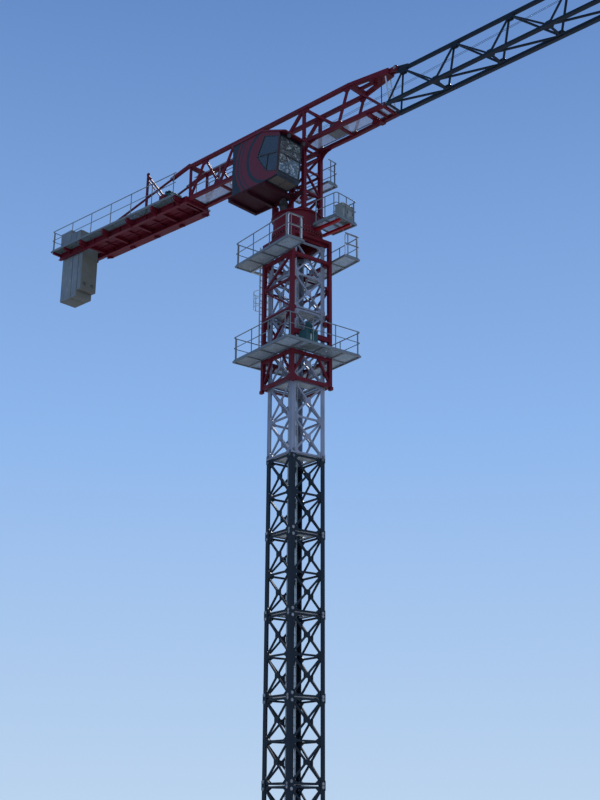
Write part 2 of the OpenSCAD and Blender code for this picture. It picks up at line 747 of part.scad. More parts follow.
module jib_pulleys() {
  nose_x = jib_end + 1460;
  color(rubber_dark) {
    sheave([4300, 0, chord_z - wheel_drop], root_wheel, 90);
    sheave([nose_x, 0, chord_z - wheel_drop], root_wheel, 90);
  }
  color(crane_red) {
    for (y = [-90, 50]) {
      box([4200, y, chord_z - 330], [4400, y + 40, chord_z - 60]);
      box([nose_x - 100, y, chord_z - 330], [nose_x + 100, y + 40, chord_z - 70]);
    }
    box([4200, -truss_half, chord_z - 160], [4400, truss_half, chord_z - root_chord / 2 + 2]);
    // hanger of the trolley rope under the jib's top chord
    box([rope_far.x - 50, -45, rope_far.z - 45], [rope_far.x + 50, 45, jib_top - jib_chord / 2]);
    for (x = [4300, nose_x]) rod([x, -90, chord_z - wheel_drop], [x, 90, chord_z - wheel_drop], 50);
  }
}

module trolley() {
  frame_z = trolley_wheel_z;
  wheel_r = 60;
  wheel_y = jib_half + jib_chord / 2 + 2;
  wheel_z = chord_z - jib_chord / 2 + 25 + wheel_r + 0.2;
  plate_y = wheel_y + 50;
  color(crane_red) {
    for (x = [hook_x - 650, hook_x + 650])
      bar([x, -plate_y, frame_z + 30], [x, plate_y, frame_z + 30], 100, 80);
    both_sides() {
      bar([hook_x - 700, plate_y + 15, frame_z + 30], [hook_x + 700, plate_y + 15, frame_z + 30], 80, 100);
      bar([hook_x - 650, 70, frame_z + 30], [hook_x + 650, 70, frame_z + 30], 40, 120);
      for (x = [hook_x - 600, hook_x + 600]) {
        box([x - 60, plate_y, frame_z + 30], [x + 60, plate_y + 30, wheel_z + 70]);
        rod([x, wheel_y, wheel_z], [x, plate_y + 10, wheel_z], 50);
        rod([x, wheel_y, wheel_z], [x, wheel_y + 36, wheel_z], 2 * wheel_r);
      }
    }
    for (x = [hook_x - trolley_wheel_x, hook_x + trolley_wheel_x])
      rod([x, -80, frame_z], [x, 80, frame_z], 50);
  }
  color(rubber_dark)
    for (x = [hook_x - trolley_wheel_x, hook_x + trolley_wheel_x])
      sheave([x, 0, frame_z], trolley_wheel, 60);
}

module hook_block() {
  color(crane_red) {
    for (y = [-75, 40])
      box([hook_x - 170, y, hook_z - 300], [hook_x + 170, y + 35, hook_z + 170]);
    box([hook_x - 110, -75, hook_z - 360], [hook_x + 110, 75, hook_z - 220]);
    rod([hook_x, -75, hook_z], [hook_x, 75, hook_z], 60);
  }
  color(rubber_dark) {
    sheave([hook_x, 0, hook_z], hook_wheel, 60);
    rod([hook_x, 0, hook_z - 350], [hook_x, 0, hook_z - 450], 70);
    translate([hook_x, 0, hook_z - 550]) rotate([90, 0, 0]) rotate([0, 0, -160])
      rotate_extrude(angle = 260, $fn = 48) translate([110, 0]) circle(d = 64, $fn = 24);
  }
}

// A piece of rope bent round a wheel, from one angle to another in the X-Z plane
module rope_bend(p, r, from, turn) {
  translate(p) rotate([90, 0, 0]) rotate([0, 0, from])
    rotate_extrude(angle = turn, $fn = 48) translate([r - groove, 0]) circle(d = rope, $fn = 16);
}

module crane_ropes() {
  color(rubber_dark) {
    // pair of ropes from the winch drum's underside up to the hanger in the jib
    for (side = [-1, 1])
      rod([rope_near.x, side * 60, rope_near.z], [rope_far.x - 50.2, side * 25, rope_far.z], rope);
    // hoist rope: out to the trolley, down round the hook block and out to the nose
    rod([4300, 0, rope_z], [hook_x - trolley_wheel_x, 0, rope_z], rope);
    rod([hook_x + trolley_wheel_x, 0, rope_z], [jib_end + 1460, 0, rope_z], rope);
    for (side = [-1, 1])
      rod([hook_x + side * (hook_wheel - groove), 0, hook_z],
          [hook_x + side * (hook_wheel - groove), 0, trolley_wheel_z], rope);
    rope_bend([hook_x - trolley_wheel_x, 0, trolley_wheel_z], trolley_wheel, 0, 90);
    rope_bend([hook_x + trolley_wheel_x, 0, trolley_wheel_z], trolley_wheel, 90, 90);
    rope_bend([hook_x, 0, hook_z], hook_wheel, 180, 180);
  }
}

// ---------- counter-jib ----------

// What lies on the counter-jib rises with it from its root
module on_counter_jib() {
  translate([truss_back, 0, deck_z]) rotate([0, counter_slope, 0])
    translate([-truss_back, 0, -deck_z]) children();
}

module counter_jib_frame() {
  web = 30;
  low = deck_z - counter_beam;
  color(crane_red) {
    on_counter_jib() {
      both_sides() {
        // I-beams
        box([-counter_end, beam_y - 80, low], [truss_back - 25, beam_y + 80, low + web]);
        box([-counter_end, beam_y - 80, deck_z - web], [truss_back - 25, beam_y + 80, deck_z]);
        box([-counter_end, beam_y - 15, low], [truss_back - 25, beam_y + 15, deck_z]);
        // brackets under the narrow ends of the walkways
        for (x = [-counter_end + 60, -counter_end + 950])
          box([x - 50, beam_y, deck_z - 120], [x + 50, walk_half - 40, deck_z]);
      }
      for (x = [-6700, -8300, -10100, -11900, -13700])
        box([x - 60, -walk_half + 40, deck_z - 200], [x + 60, walk_half - 40, deck_z]);
      // floor plate between the beams
      box([-13760, -beam_y + 10, deck_z - 30], [truss_back - 40, beam_y - 10, deck_z - 12]);
    }
    // plumb end beam against the truss
    box([truss_back - 70, -beam_y - 80, low + 5], [truss_back, beam_y + 80, deck_z]);
  }
}

module counter_jib_walkways() {
  narrow = -counter_end + 1780;
  last = -counter_end - 120;
  color(galvanised) on_counter_jib() {
    both_sides() {
      deck_strip([narrow, beam_y + 100], [truss_back - 300, walk_half], deck_z + 60, 60);
      deck_strip([last, beam_y + 90], [narrow + 45, walk_half], deck_z + 60, 60);
    }
    box([last, -walk_half, deck_z], [last + 100, walk_half, deck_z + 60]);
  }
}

module counter_jib_railings() {
  x0 = truss_back - 320;
  x1 = -counter_end - 95;
  y = walk_half - 25;
  color(galvanised) on_counter_jib() translate([0, 0, deck_z + 60])
    handrail([[x0, -y, 0], [x1, -y, 0], [x1, y, 0], [x0, y, 0]], 1100, 40, 1500);
}

module tie_bars() {
  fork_end = truss_back - 1200;
  foot_x = truss_back - 6700;
  z0 = truss_top + 78;
  slope = 0.191;
  rise = (truss_back - foot_x) * tan(counter_slope);
  foot_z = z0 - slope * (truss_back - foot_x);
  color(crane_red)
    both_sides() {
      difference() {
        bar([truss_back + 60, truss_half, z0 + 60 * slope],
            [fork_end, truss_half, z0 + (fork_end - truss_back) * slope], 120, 160);
        box([truss_back, 0, truss_top - 400], [truss_back + 200, 800, truss_top + 400]);
      }
      bar([fork_end + 100, truss_half, z0 + (fork_end + 100 - truss_back) * slope],
          [foot_x, truss_half, foot_z], 60, 90);
      on_counter_jib() {
        box([foot_x - 100, truss_half - 50, deck_z + 20], [foot_x + 100, truss_half + 60, foot_z - rise + 70]);
        box([foot_x - 140, truss_half - 50, deck_z], [foot_x + 140, beam_y - 10, deck_z + 40]);
      }
    }
}

module hoist_winch() {
  z = deck_z;
  motor_x = drum_x - 750;
  side = 440;
  on_counter_jib() {
    color(teal) {
      box([motor_x - 400, -560, z], [drum_x + 400, 560, z + 60]);
      for (y = [-side - 60, side])
        box([drum_x - 330, y, z], [drum_x + 330, y + 60, axle_z + 120]);
      box([motor_x - 160, -300, z], [motor_x + 160, 260, z + 180]);
    }
    color(rubber_dark) {
      rod([drum_x, -side, axle_z], [drum_x, side, axle_z], 160);
      rod([drum_x, -330, axle_z], [drum_x, 330, axle_z], drum_d);
      for (y = [-380, 330]) rod([drum_x, y, axle_z], [drum_x, y + 50, axle_z], 760);
      rod([motor_x, -280, z + 340], [motor_x, 240, z + 340], 340);
    }
  }
}

// A post on the near beam with two braces down to the winch's frame
module winch_davit() {
  x = drum_x - 1200;
  y = -beam_y - 35;
  top = deck_z + 2110;
  pad = deck_z + 430;
  color(crane_red) on_counter_jib() {
    box([x - 45, y - 45, deck_z], [x + 45, y + 45, top]);
    bar([x, y, top - 60], [drum_x + 50, y, pad + 150], 80, 80);
    bar([x, y, top - 260], [drum_x - 130, y, pad + 120], 44, 50);
    box([drum_x - 230, y - 45, pad], [drum_x + 130, -500, pad + 200]);
  }
}

// Height of the counter-jib's floor at a distance x
function floor_at(x) = deck_z + (truss_back - x) * tan(counter_slope);

// One hung slab: a stem between the beams and a head that rests on them
module ballast_slab(x0, x1, foot, top) {
  stem = beam_y - 130;
  head = beam_y + 70;
  neck = floor_at(x0) + 0.5;
  translate([x0, 0, 0]) rotate([90, 0, 90]) linear_extrude(x1 - x0)
    polygon([[-stem, foot], [stem, foot], [stem, neck], [head, neck],
             [head, top], [-head, top], [-head, neck], [-stem, neck]]);
}

module ballast_slabs() {
  x0 = -counter_end + 90;
  x1 = x0 + 830;
  x2 = x1 + 30 + 440;
  x3 = x2 + 30 + 300;
  color(concrete) {
    ballast_slab(x0, x1, ballast_foot, ballast_top);
    ballast_slab(x1 + 30, x2, ballast_foot, ballast_top - 250);
    difference() {
      ballast_slab(x2 + 30, x3, ballast_foot + 300, ballast_top - 250);
      for (y = [-320, 130])
        box([x3 - 90, y, ballast_foot + 530], [x3 + 1, y + 190, ballast_foot + 690]);
    }
  }
}

// ---------- walkway and trolley winch at the jib's root ----------

walk_top = chord_z + 85;

module jib_walkway() {
  half = 340;
  foot = [jib_start + 93, 0, walk_top - 5];
  head = [jib_start - 107, 0, truss_top - 125];
  rail = 165;
  color(galvanised) {
    difference() {
      box([tower_x - 30, -half, chord_z + 50], [jib_start + 133, half, walk_top]);
      box([tie_x - 40, -40, chord_z], [tie_x + 40, 40, walk_top + 1]);
    }
    for (side = [-1, 1])
      bar(foot + [0, side * rail, 0], head + [0, side * rail, 0], 30, 50);
    for (k = [1:4]) {
      p = foot + (head - foot) * k * 0.2;
      box(p + [-15, -rail, -15], p + [15, rail, 15]);
    }
  }
}

module trolley_winch() {
  x = 2200;
  axle = walk_top + 250;
  color(teal) {
    box([x - 280, -300, walk_top], [x + 520, 300, walk_top + 40]);
    for (y = [-270, 240])
      box([x - 140, y, walk_top], [x + 140, y + 30, axle + 60]);
    box([x + 260, -120, walk_top], [x + 460, 120, walk_top + 110]);
  }
  color(rubber_dark) {
    rod([x, -270, axle], [x, 270, axle], 80);
    rod([x, -190, axle], [x, 190, axle], 300);
    for (y = [-220, 190]) rod([x, y, axle], [x, y + 30, axle], 420);
    rod([x + 360, -220, walk_top + 230], [x + 360, 200, walk_top + 230], 260);
  }
}

// ---------- one line a node ----------

base_frame();
mast_section_1();
mast_section_2();
mast_section_3();
mast_section_4();
mast_section_5();
mast_section_6();
mast_section_7();
mast_section_8();
mast_ladder();
rest_platforms();
climbing_cage();
cage_lower_deck();
cage_upper_deck();
cage_lower_railing();
cage_upper_railing();
jacking_unit();
slewing_support();
turntable();
slewing_motors();
slewing_tower();
tower_walkway();
cabinet_platform();
electric_cabinet();
cab_platform();
cab_shell();
cab_glass();
cab_seat();
root_truss();
jib_section_1();
jib_section_2();
jib_nose();
jib_pulleys();
trolley();
hook_block();
crane_ropes();
counter_jib_frame();
counter_jib_walkways();
counter_jib_railings();
tie_bars();
hoist_winch();
winch_davit();
ballast_slabs();
jib_walkway();
trolley_winch();
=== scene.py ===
"""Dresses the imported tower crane: pins, bolts, gratings, tube railings, cab fittings,
winch rope, finishes and a plain studio. Metres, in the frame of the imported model:
Z is up and the jib points along +X."""

import json
import math

import bpy
from mathutils import Matrix, Vector


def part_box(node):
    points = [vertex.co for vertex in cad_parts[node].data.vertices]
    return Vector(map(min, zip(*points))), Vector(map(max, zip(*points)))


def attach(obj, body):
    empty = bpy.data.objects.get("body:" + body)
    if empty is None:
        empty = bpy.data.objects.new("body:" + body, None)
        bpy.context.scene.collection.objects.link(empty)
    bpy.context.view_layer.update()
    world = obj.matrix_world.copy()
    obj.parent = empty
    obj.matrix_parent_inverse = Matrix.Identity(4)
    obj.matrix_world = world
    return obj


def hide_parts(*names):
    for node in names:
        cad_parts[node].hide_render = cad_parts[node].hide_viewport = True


bl_info = {
    "name": "Tower crane dressing",
    "version": (1, 0, 0),
    "blender": (4, 5, 0),
    "location": "3D View > Sidebar > Crane",
    "description": "Adds fittings, finishes and a studio to the packed tower crane",
    "category": "Add Mesh",
}

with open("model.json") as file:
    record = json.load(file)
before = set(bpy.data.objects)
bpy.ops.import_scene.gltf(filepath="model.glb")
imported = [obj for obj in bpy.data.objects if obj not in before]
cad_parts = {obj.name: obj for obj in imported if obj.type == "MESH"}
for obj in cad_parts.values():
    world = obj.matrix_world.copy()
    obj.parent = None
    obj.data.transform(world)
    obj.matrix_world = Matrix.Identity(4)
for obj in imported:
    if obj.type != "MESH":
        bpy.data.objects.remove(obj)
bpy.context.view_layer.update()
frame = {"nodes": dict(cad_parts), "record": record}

# Sizes that repeat the solids' own

MAST_TURN = Matrix.Rotation(math.radians(-9.5), 4, "Z")
MAST_HALF = 0.8
SECTION = 3.0
SECTIONS = 8
DARK_SECTIONS = 5
LEG_MID = 0.705            # a leg's middle from the mast's centre planes
CAGE_OUT = 1.015
DECK_HALF = 1.83
HATCH = ((-1.75, -0.965), (-1.24, -0.425))
CAGE_STEPS = (19.26, 20.9, 22.15, 23.25)
RAM = Vector((-1.125, 0, 20.0))
LOWER_DECK = 19.2
UPPER_DECK = 23.4
SLEW_Z = 24.5
DRUM_TOP = 25.35
TOWER_X = 0.83
TRUSS_HALF = 0.5
CHORD_Z = 28.46
TRUSS_TOP = 30.1
TRUSS_BACK = -6.3
JIB_HALF = 0.433
JIB_START = 5.057
JIB_TOP = 30.02
JIB_LEAD = 0.675
BAY = 2.5
APEX = Vector((5.4, 0, 30.17))
HOOK = Vector((18.3, 0, 24.6))
TROLLEY_LOW = 27.9056      # the middle of the trolley's lower bars
DECK_Z = 28.55
COUNTER_END = 15.93
WALK_TOP = 28.545
BEAM_Y = 0.6
WALK_HALF = 1.1
CAB_NEAR = -2.2
CAB_FAR = -0.9
CAB_MID = -1.55
COUNTER_RISE = math.radians(1.2)   # the counter-jib's slope
ALONG = (1, 0, 0)                  # the jib's direction
ACROSS = (0, 1, 0)
UP = (0, 0, 1)
STRAIGHT = Matrix.Identity(4)
COUNTER_SEAT = (Matrix.Translation((TRUSS_BACK, 0, DECK_Z)) @ Matrix.Rotation(COUNTER_RISE, 4, "Y")
                @ Matrix.Translation((-TRUSS_BACK, 0, -DECK_Z)))
NO_LENGTH = 1e-6                   # points nearer than this are one point


# Modelling helpers

def clear_selection():
    if bpy.context.mode != "OBJECT":
        bpy.ops.object.mode_set(mode="OBJECT")
    bpy.ops.object.select_all(action="DESELECT")


def pick(part):
    clear_selection()
    part.select_set(True)
    bpy.context.view_layer.objects.active = part
    return part


def settle():
    """Puts the active part's place into its mesh."""
    bpy.ops.object.transform_apply(location=True, rotation=True, scale=True)
    return bpy.context.active_object


class EditMode:
    """Edit mode on the active part, with all of its mesh selected."""

    def __enter__(self):
        bpy.ops.object.mode_set(mode="EDIT")
        bpy.ops.mesh.select_all(action="SELECT")

    def __exit__(self, *error):
        bpy.ops.object.mode_set(mode="OBJECT")


def close_up():
    """Merges doubled points and turns every face outwards."""
    bpy.ops.mesh.select_all(action="SELECT")
    bpy.ops.mesh.remove_doubles(threshold=NO_LENGTH)
    bpy.ops.mesh.normals_make_consistent(inside=False)


def soften(part, width, segments=1):
    """Rounds every edge of a part."""
    pick(part)
    with EditMode():
        bpy.ops.mesh.bevel(offset=width, segments=segments, affect="EDGES")
    return part


def cuboid(middle, size, turn=(0, 0, 0), edge=0.0):
    """A box about its middle, with rounded edges where edge is given."""
    clear_selection()
    bpy.ops.mesh.primitive_cube_add(size=1, location=middle, rotation=turn)
    bpy.context.active_object.scale = size
    part = settle()
    return soften(part, edge) if edge else part


def block(low, high, edge=0.0):
    """A plate or box between two corners."""
    low, high = Vector(low), Vector(high)
    return cuboid((low + high) / 2, high - low, edge=edge)


def bar(a, b, width, depth, edge=0.0):
    """A flat bar from a to b, width across and depth high."""
    a, b = Vector(a), Vector(b)
    along = (b - a).normalized()
    side = Vector(UP).cross(along)
    side = side.normalized() if side.length > NO_LENGTH else Vector(ACROSS)
    turn = Matrix((along, side, along.cross(side))).transposed()
    return cuboid((a + b) / 2, ((b - a).length, width, depth), turn.to_euler(), edge)


def rod(a, b, radius, sides=10):
    """A round bar from a to b; six sides make a nut or a bolt's head."""
    a, b = Vector(a), Vector(b)
    along = b - a
    clear_selection()
    bpy.ops.mesh.primitive_cylinder_add(
        vertices=sides, radius=radius, depth=along.length, location=(a + b) / 2,
        rotation=along.to_track_quat("Z", "Y").to_euler())
    return settle()


def stepped_rod(start, along, steps, sides=16):
    """A turned part: (length, radius) steps, each extruded from the last one's end."""
    along = Vector(along).normalized()
    clear_selection()
    radius = steps[0][1]
    bpy.ops.mesh.primitive_circle_add(vertices=sides, radius=radius, fill_type="NGON")
    with EditMode():
        for length, wide in steps:
            if abs(wide - radius) > NO_LENGTH:
                bpy.ops.mesh.extrude_region_move()
                bpy.ops.transform.resize(value=(wide / radius, wide / radius, 1))
                radius = wide
            bpy.ops.mesh.extrude_region_move(TRANSFORM_OT_translate={"value": (0, 0, length)})
        close_up()
    part = bpy.context.active_object
    part.rotation_euler = along.to_track_quat("Z", "Y").to_euler()
    part.location = Vector(start)
    return settle()


def rounded(points, bend, closed=False, steps=4):
    """The points of a path with its corners turned into arcs of at most half a side."""
    points = [Vector(p) for p in points]
    count = len(points)
    path = []
    for i, p in enumerate(points):
        if not closed and i in (0, count - 1):
            path.append(p)
            continue
        before, after = points[i - 1] - p, points[(i + 1) % count] - p
        reach = min(bend, before.length / 2.05, after.length / 2.05)
        a, b = p + before.normalized() * reach, p + after.normalized() * reach
        for k in range(steps + 1):
            t = k / steps
            path.append(a * (1 - t) ** 2 + p * 2 * t * (1 - t) + b * t ** 2)
    return path


def tube(points, radius, bend=0.0, sides=8, closed=False):
    """A tube along points, with rounded corners and closed ends."""
    path = rounded(points, bend, closed) if bend else [Vector(p) for p in points]
    curve = bpy.data.curves.new("tube", "CURVE")
    curve.dimensions = "3D"
    curve.bevel_depth = radius
    curve.bevel_resolution = (sides - 4) // 2
    curve.use_fill_caps = True
    spline = curve.splines.new("POLY")
    spline.points.add(len(path) - 1)
    for point, place in zip(spline.points, path):
        point.co = (*place, 1)
    spline.use_cyclic_u = closed
    part = bpy.data.objects.new("tube", curve)
    bpy.context.collection.objects.link(part)
    pick(part)
    bpy.ops.object.convert(target="MESH")
    with EditMode():
        close_up()
    return bpy.context.active_object


def plate(outline, origin, across, up, thick):
    """A flat plate cut to an outline that lies in the plane of across and up."""
    origin, across, up = Vector(origin), Vector(across), Vector(up)
    through = across.cross(up).normalized()
    mesh = bpy.data.meshes.new("plate")
    places = [origin + across * u + up * v - through * thick / 2 for u, v in outline]
    mesh.from_pydata(places, [], [list(range(len(places)))])
    part = bpy.data.objects.new("plate", mesh)
    bpy.context.collection.objects.link(part)
    pick(part)
    with EditMode():
        bpy.ops.mesh.extrude_region_move(TRANSFORM_OT_translate={"value": through * thick})
        bpy.ops.mesh.select_all(action="SELECT")
        bpy.ops.mesh.normals_make_consistent(inside=False)
    return part


def row(part, count, step):
    """The part and its copies in a row, as one mesh."""
    pick(part)
    array = part.modifiers.new("Row", "ARRAY")
    array.count = count
    array.use_relative_offset = False
    array.use_constant_offset = True
    array.constant_offset_displace = step
    bpy.ops.object.modifier_apply(modifier="Row")
    return part


def ring(part, count, centre=(0, 0, 0), axis=UP):
    """The part and its copies round an axis, as one mesh."""
    pick(part)
    with EditMode():
        bpy.ops.mesh.spin(steps=count - 1, dupli=True, angle=2 * math.pi * (count - 1) / count,
                          center=centre, axis=axis)
    return part


def copies(parts, matrices):
    """A copy of the parts for each matrix, each with its own mesh; the first ones go."""
    made = []
    for matrix in matrices:
        for part in parts:
            twin = part.copy()
            twin.data = part.data.copy()
            twin.data.transform(matrix)
            if matrix.determinant() < 0:
                twin.data.flip_normals()
            bpy.context.collection.objects.link(twin)
            made.append(twin)
    for part in parts:
        bpy.data.objects.remove(part)
    return made


def moved(axis, distances):
    """Shifts along an axis, for copies()."""
    return [Matrix.Translation(Vector(axis) * distance) for distance in distances]


def both_sides(parts):
    """The parts and their mirror images across the jib's centre plane."""
    return copies(parts, [STRAIGHT, Matrix.Scale(-1, 4, ACROSS)])


def four_corners(parts):
    """The parts at each of the mast's corners."""
    return copies(parts, [Matrix.Rotation(k * math.pi / 2, 4, "Z") for k in range(4)])


def painted(parts, finish):
    """Gives loose parts a finish of their own before they join a piece."""
    for part in parts:
        part.data.materials.clear()
        part.data.materials.append(FINISH[finish])
    return parts


def piece(name, parts, body, slot, seat=STRAIGHT, finish=None, smooth=35):
    """Joins parts into one piece that rides on a body, in its slot's finish unless another is named."""
    for part in parts:
        if not part.data.materials:
            part.data.materials.append(FINISH[finish or slot])
    clear_selection()
    for part in parts:
        part.select_set(True)
    bpy.context.view_layer.objects.active = parts[0]
    if len(parts) > 1:
        bpy.ops.object.join()
    whole = bpy.context.active_object
    whole.name = name
    whole.data.name = name
    whole.data.transform(seat)
    bpy.ops.object.shade_smooth_by_angle(angle=math.radians(smooth))
    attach(whole, body)
    return whole


# Finishes

class Nodes:
    """A material's node tree with short calls for what the finishes share."""

    def __init__(self, name):
        self.material = bpy.data.materials.new(name)
        self.material.use_nodes = True
        self.tree = self.material.node_tree
        self.tree.nodes.clear()
        self.shader = self.add("ShaderNodeBsdfPrincipled")
        out = self.add("ShaderNodeOutputMaterial")
        self.link(self.shader.outputs[0], out.inputs[0])
        self.place = self.add("ShaderNodeTexCoord").outputs["Object"]

    def link(self, a, b):
        self.tree.links.new(a, b)

    def feed(self, socket, value):
        """Sets a socket to a number or a colour, or links a node's output to it."""
        if isinstance(value, (int, float)):
            socket.default_value = value
        elif isinstance(value, (tuple, list)):
            socket.default_value = (*value, 1.0)
        else:
            self.link(value, socket)

    def add(self, kind, inputs=None, **settings):
        """A new node, with its settings and with what its inputs are fed."""
        node = self.tree.nodes.new(kind)
        for key, value in settings.items():
            setattr(node, key, value)
        for key, value in (inputs or {}).items():
            self.feed(node.inputs[key], value)
        return node

    def scaled(self, scale):
        """The place on the object, stretched by a scale for each axis if one is given."""
        if not scale:
            return self.place
        node = self.add("ShaderNodeMapping", {"Vector": self.place})
        node.inputs["Scale"].default_value = scale
        return node.outputs[0]

    def noise(self, scale, detail=4.0, rough=0.55, stretch=None):
        node = self.add("ShaderNodeTexNoise", {"Scale": scale, "Detail": detail, "Roughness": rough,
                                               "Vector": self.scaled(stretch)})
        return node.outputs["Fac"]

    def cells(self, scale, output="Distance"):
        return self.add("ShaderNodeTexVoronoi", {"Scale": scale, "Vector": self.place}).outputs[output]

    def wave(self, direction, scale, distortion):
        return self.add("ShaderNodeTexWave", {"Scale": scale, "Distortion": distortion, "Vector": self.place},
                        bands_direction=direction).outputs["Fac"]

    def ramp(self, value, low, high, start=0.0, end=1.0):
        """Turns values from low to high into values from start to end."""
        return self.add("ShaderNodeMapRange", {
            "From Min": low, "From Max": high, "To Min": start, "To Max": end, "Value": value}).outputs[0]

    def maths(self, operation, a, b=0):
        return self.add("ShaderNodeMath", {0: a, 1: b}, operation=operation).outputs[0]

    def mix(self, share, a, b):
        return self.add("ShaderNodeMix", {"Factor": share, 6: a, 7: b}, data_type="RGBA").outputs[2]

    def xyz(self, vector):
        return self.add("ShaderNodeSeparateXYZ", {0: vector}).outputs

    def normal(self):
        """The three parts of the surface's direction."""
        return self.xyz(self.add("ShaderNodeNewGeometry").outputs["Normal"])

    def bump(self, height, strength, distance):
        node = self.add("ShaderNodeBump", {"Strength": strength, "Distance": distance, "Height": height})
        self.link(node.outputs[0], self.shader.inputs["Normal"])

    def set(self, **values):
        """Feeds the shader's sockets, named with _ for a space, and gives the material."""
        for key, value in values.items():
            self.feed(self.shader.inputs[key.replace("_", " ")], value)
        return self.material


def shade(colour, factor):
    return tuple(min(1.0, c * factor) for c in colour)


DUST = (0.30, 0.28, 0.25)
GRIME = (0.035, 0.032, 0.03)
RUST = (0.19, 0.065, 0.022)


def weathered(n, colour, chips=0.5, streaks=0.5, dust=0.4, chip_colour=RUST):
    """Paint that has stood outside: patchy, streaked with grime, chipped and dusty."""
    patches = n.ramp(n.noise(1.1, 5), 0.3, 0.7)
    if isinstance(colour, tuple):
        colour = n.mix(patches, shade(colour, 0.82), shade(colour, 1.15))
    run = n.ramp(n.noise(1.6, 6, 0.6, (7, 7, 0.45)), 0.5, 0.78)
    colour = n.mix(n.maths("MULTIPLY", run, streaks), colour, GRIME)
    chip = n.ramp(n.noise(13, 7, 0.68), 0.655, 0.69)
    chip = n.maths("MULTIPLY", chip, n.ramp(n.noise(0.8, 3), 0.42, 0.62))
    colour = n.mix(n.maths("MULTIPLY", chip, chips), colour, chip_colour)
    upward = n.ramp(n.normal()["Z"], 0.5, 0.95)
    film = n.maths("MULTIPLY", upward, n.ramp(n.noise(2.5, 4), 0.3, 0.7, dust * 0.5, dust))
    return n.mix(film, colour, DUST), chip, patches


def paint(name, colour, rough=0.5, **wear):
    """Plain paint with the wear that weathered() gives."""
    n = Nodes(name)
    look, chip, patches = weathered(n, colour, **wear)
    grain = n.noise(55, 3)
    n.bump(n.maths("SUBTRACT", n.maths("MULTIPLY", grain, 0.25), chip), 0.35, 0.003)
    dull = n.maths("ADD", n.ramp(patches, 0, 1, rough - 0.06, rough + 0.12), n.maths("MULTIPLY", chip, 0.3))
    return n.set(Base_Color=look, Specular_IOR_Level=0.16, Roughness=dull)


def zinc(name, colour=(0.44, 0.475, 0.47)):
    """Hot-dip galvanising: spangled grey crystals, dulled and stained."""
    n = Nodes(name)
    spangle = n.add("ShaderNodeSeparateColor", {0: n.cells(38, "Color")}).outputs[0]
    look = n.mix(spangle, shade(colour, 0.84), shade(colour, 1.1))
    stain = n.ramp(n.noise(1.8, 5, 0.6, (5, 5, 0.8)), 0.52, 0.75, 0, 0.45)
    look = n.mix(stain, look, (0.19, 0.185, 0.17))
    rust = n.ramp(n.noise(9, 6, 0.7), 0.68, 0.74, 0, 0.6)
    look = n.mix(rust, look, RUST)
    n.bump(spangle, 0.12, 0.002)
    return n.set(Base_Color=look, Metallic=0.55, Roughness=n.ramp(spangle, 0, 1, 0.42, 0.58))


def bare_steel(name, colour=(0.30, 0.30, 0.31), metal=0.85, rough=0.38):
    n = Nodes(name)
    worn = n.ramp(n.noise(6, 6, 0.6), 0.35, 0.75)
    look = n.mix(worn, shade(colour, 1.2), shade(colour, 0.55))
    look = n.mix(n.ramp(n.noise(16, 6, 0.7), 0.6, 0.68, 0, 0.5), look, RUST)
    n.bump(n.noise(70, 4), 0.2, 0.001)
    return n.set(Base_Color=look, Metallic=metal, Roughness=n.ramp(worn, 0, 1, rough, rough + 0.25))


def poured_concrete(name):
    """Cast concrete: cloudy and bluish grey, with pores, board marks and dark runs. The blue is painted sky
    light, and faces that look along +X or down carry a painted olive shade.
    """
    n = Nodes(name)
    cloud = n.ramp(n.noise(1.3, 6), 0.3, 0.7)
    # bluish grey: a grey of the concrete's own, with a blue tint that is painted sky light on the slabs'
    # sides
    look = n.mix(cloud, (0.115, 0.155, 0.19), (0.175, 0.21, 0.235))
    look = n.mix(n.ramp(n.noise(1.5, 6, 0.6, (4, 4, 0.35)), 0.52, 0.72, 0, 0.6), look, (0.125, 0.12, 0.10))
    look = n.mix(n.ramp(n.noise(3.4, 5), 0.6, 0.68, 0, 0.35), look, (0.27, 0.28, 0.29))
    pores = n.maths("MULTIPLY", n.ramp(n.cells(26), 0.16, 0.10), n.ramp(n.noise(3, 2), 0.5, 0.6))
    look = n.mix(pores, look, (0.10, 0.10, 0.10))
    facing = n.normal()
    # painted shade: faces that look along +X and faces that look down turn darker and olive, standing in for
    # bounced light and shade
    painted_facing_shade = n.maths("MAXIMUM", n.ramp(facing["X"], 0.6, 0.9), n.ramp(facing["Z"], -0.6, -0.9))
    painted_facing_shade = n.maths("MULTIPLY", painted_facing_shade, n.ramp(n.noise(2.2, 5), 0.2, 0.6, 0.55, 0.95))
    look = n.mix(painted_facing_shade, look, (0.115, 0.112, 0.085))
    grain = n.noise(90, 5)
    board = n.ramp(n.wave("Z", 1.4, 0.6), 0.0, 0.04, -0.5, 0)
    n.bump(n.maths("ADD", n.maths("SUBTRACT", n.maths("MULTIPLY", grain, 0.3), pores), board), 0.6, 0.004)
    return n.set(Base_Color=look, Roughness=n.ramp(cloud, 0, 1, 0.82, 0.95))


ARCS_X, ARCS_Z = 0.5, 27.4         # the middle of the cab's painted arcs
ARCS = ((0.6, 0.58), (1.48, 0.14), (1.73, 0.055), (1.93, 0.055))   # middle radius and half width
ROOF_Z = 28.52                     # where the cab's coloured roof begins
VISOR_X, VISOR_SLOPE = 0.09, 0.3806


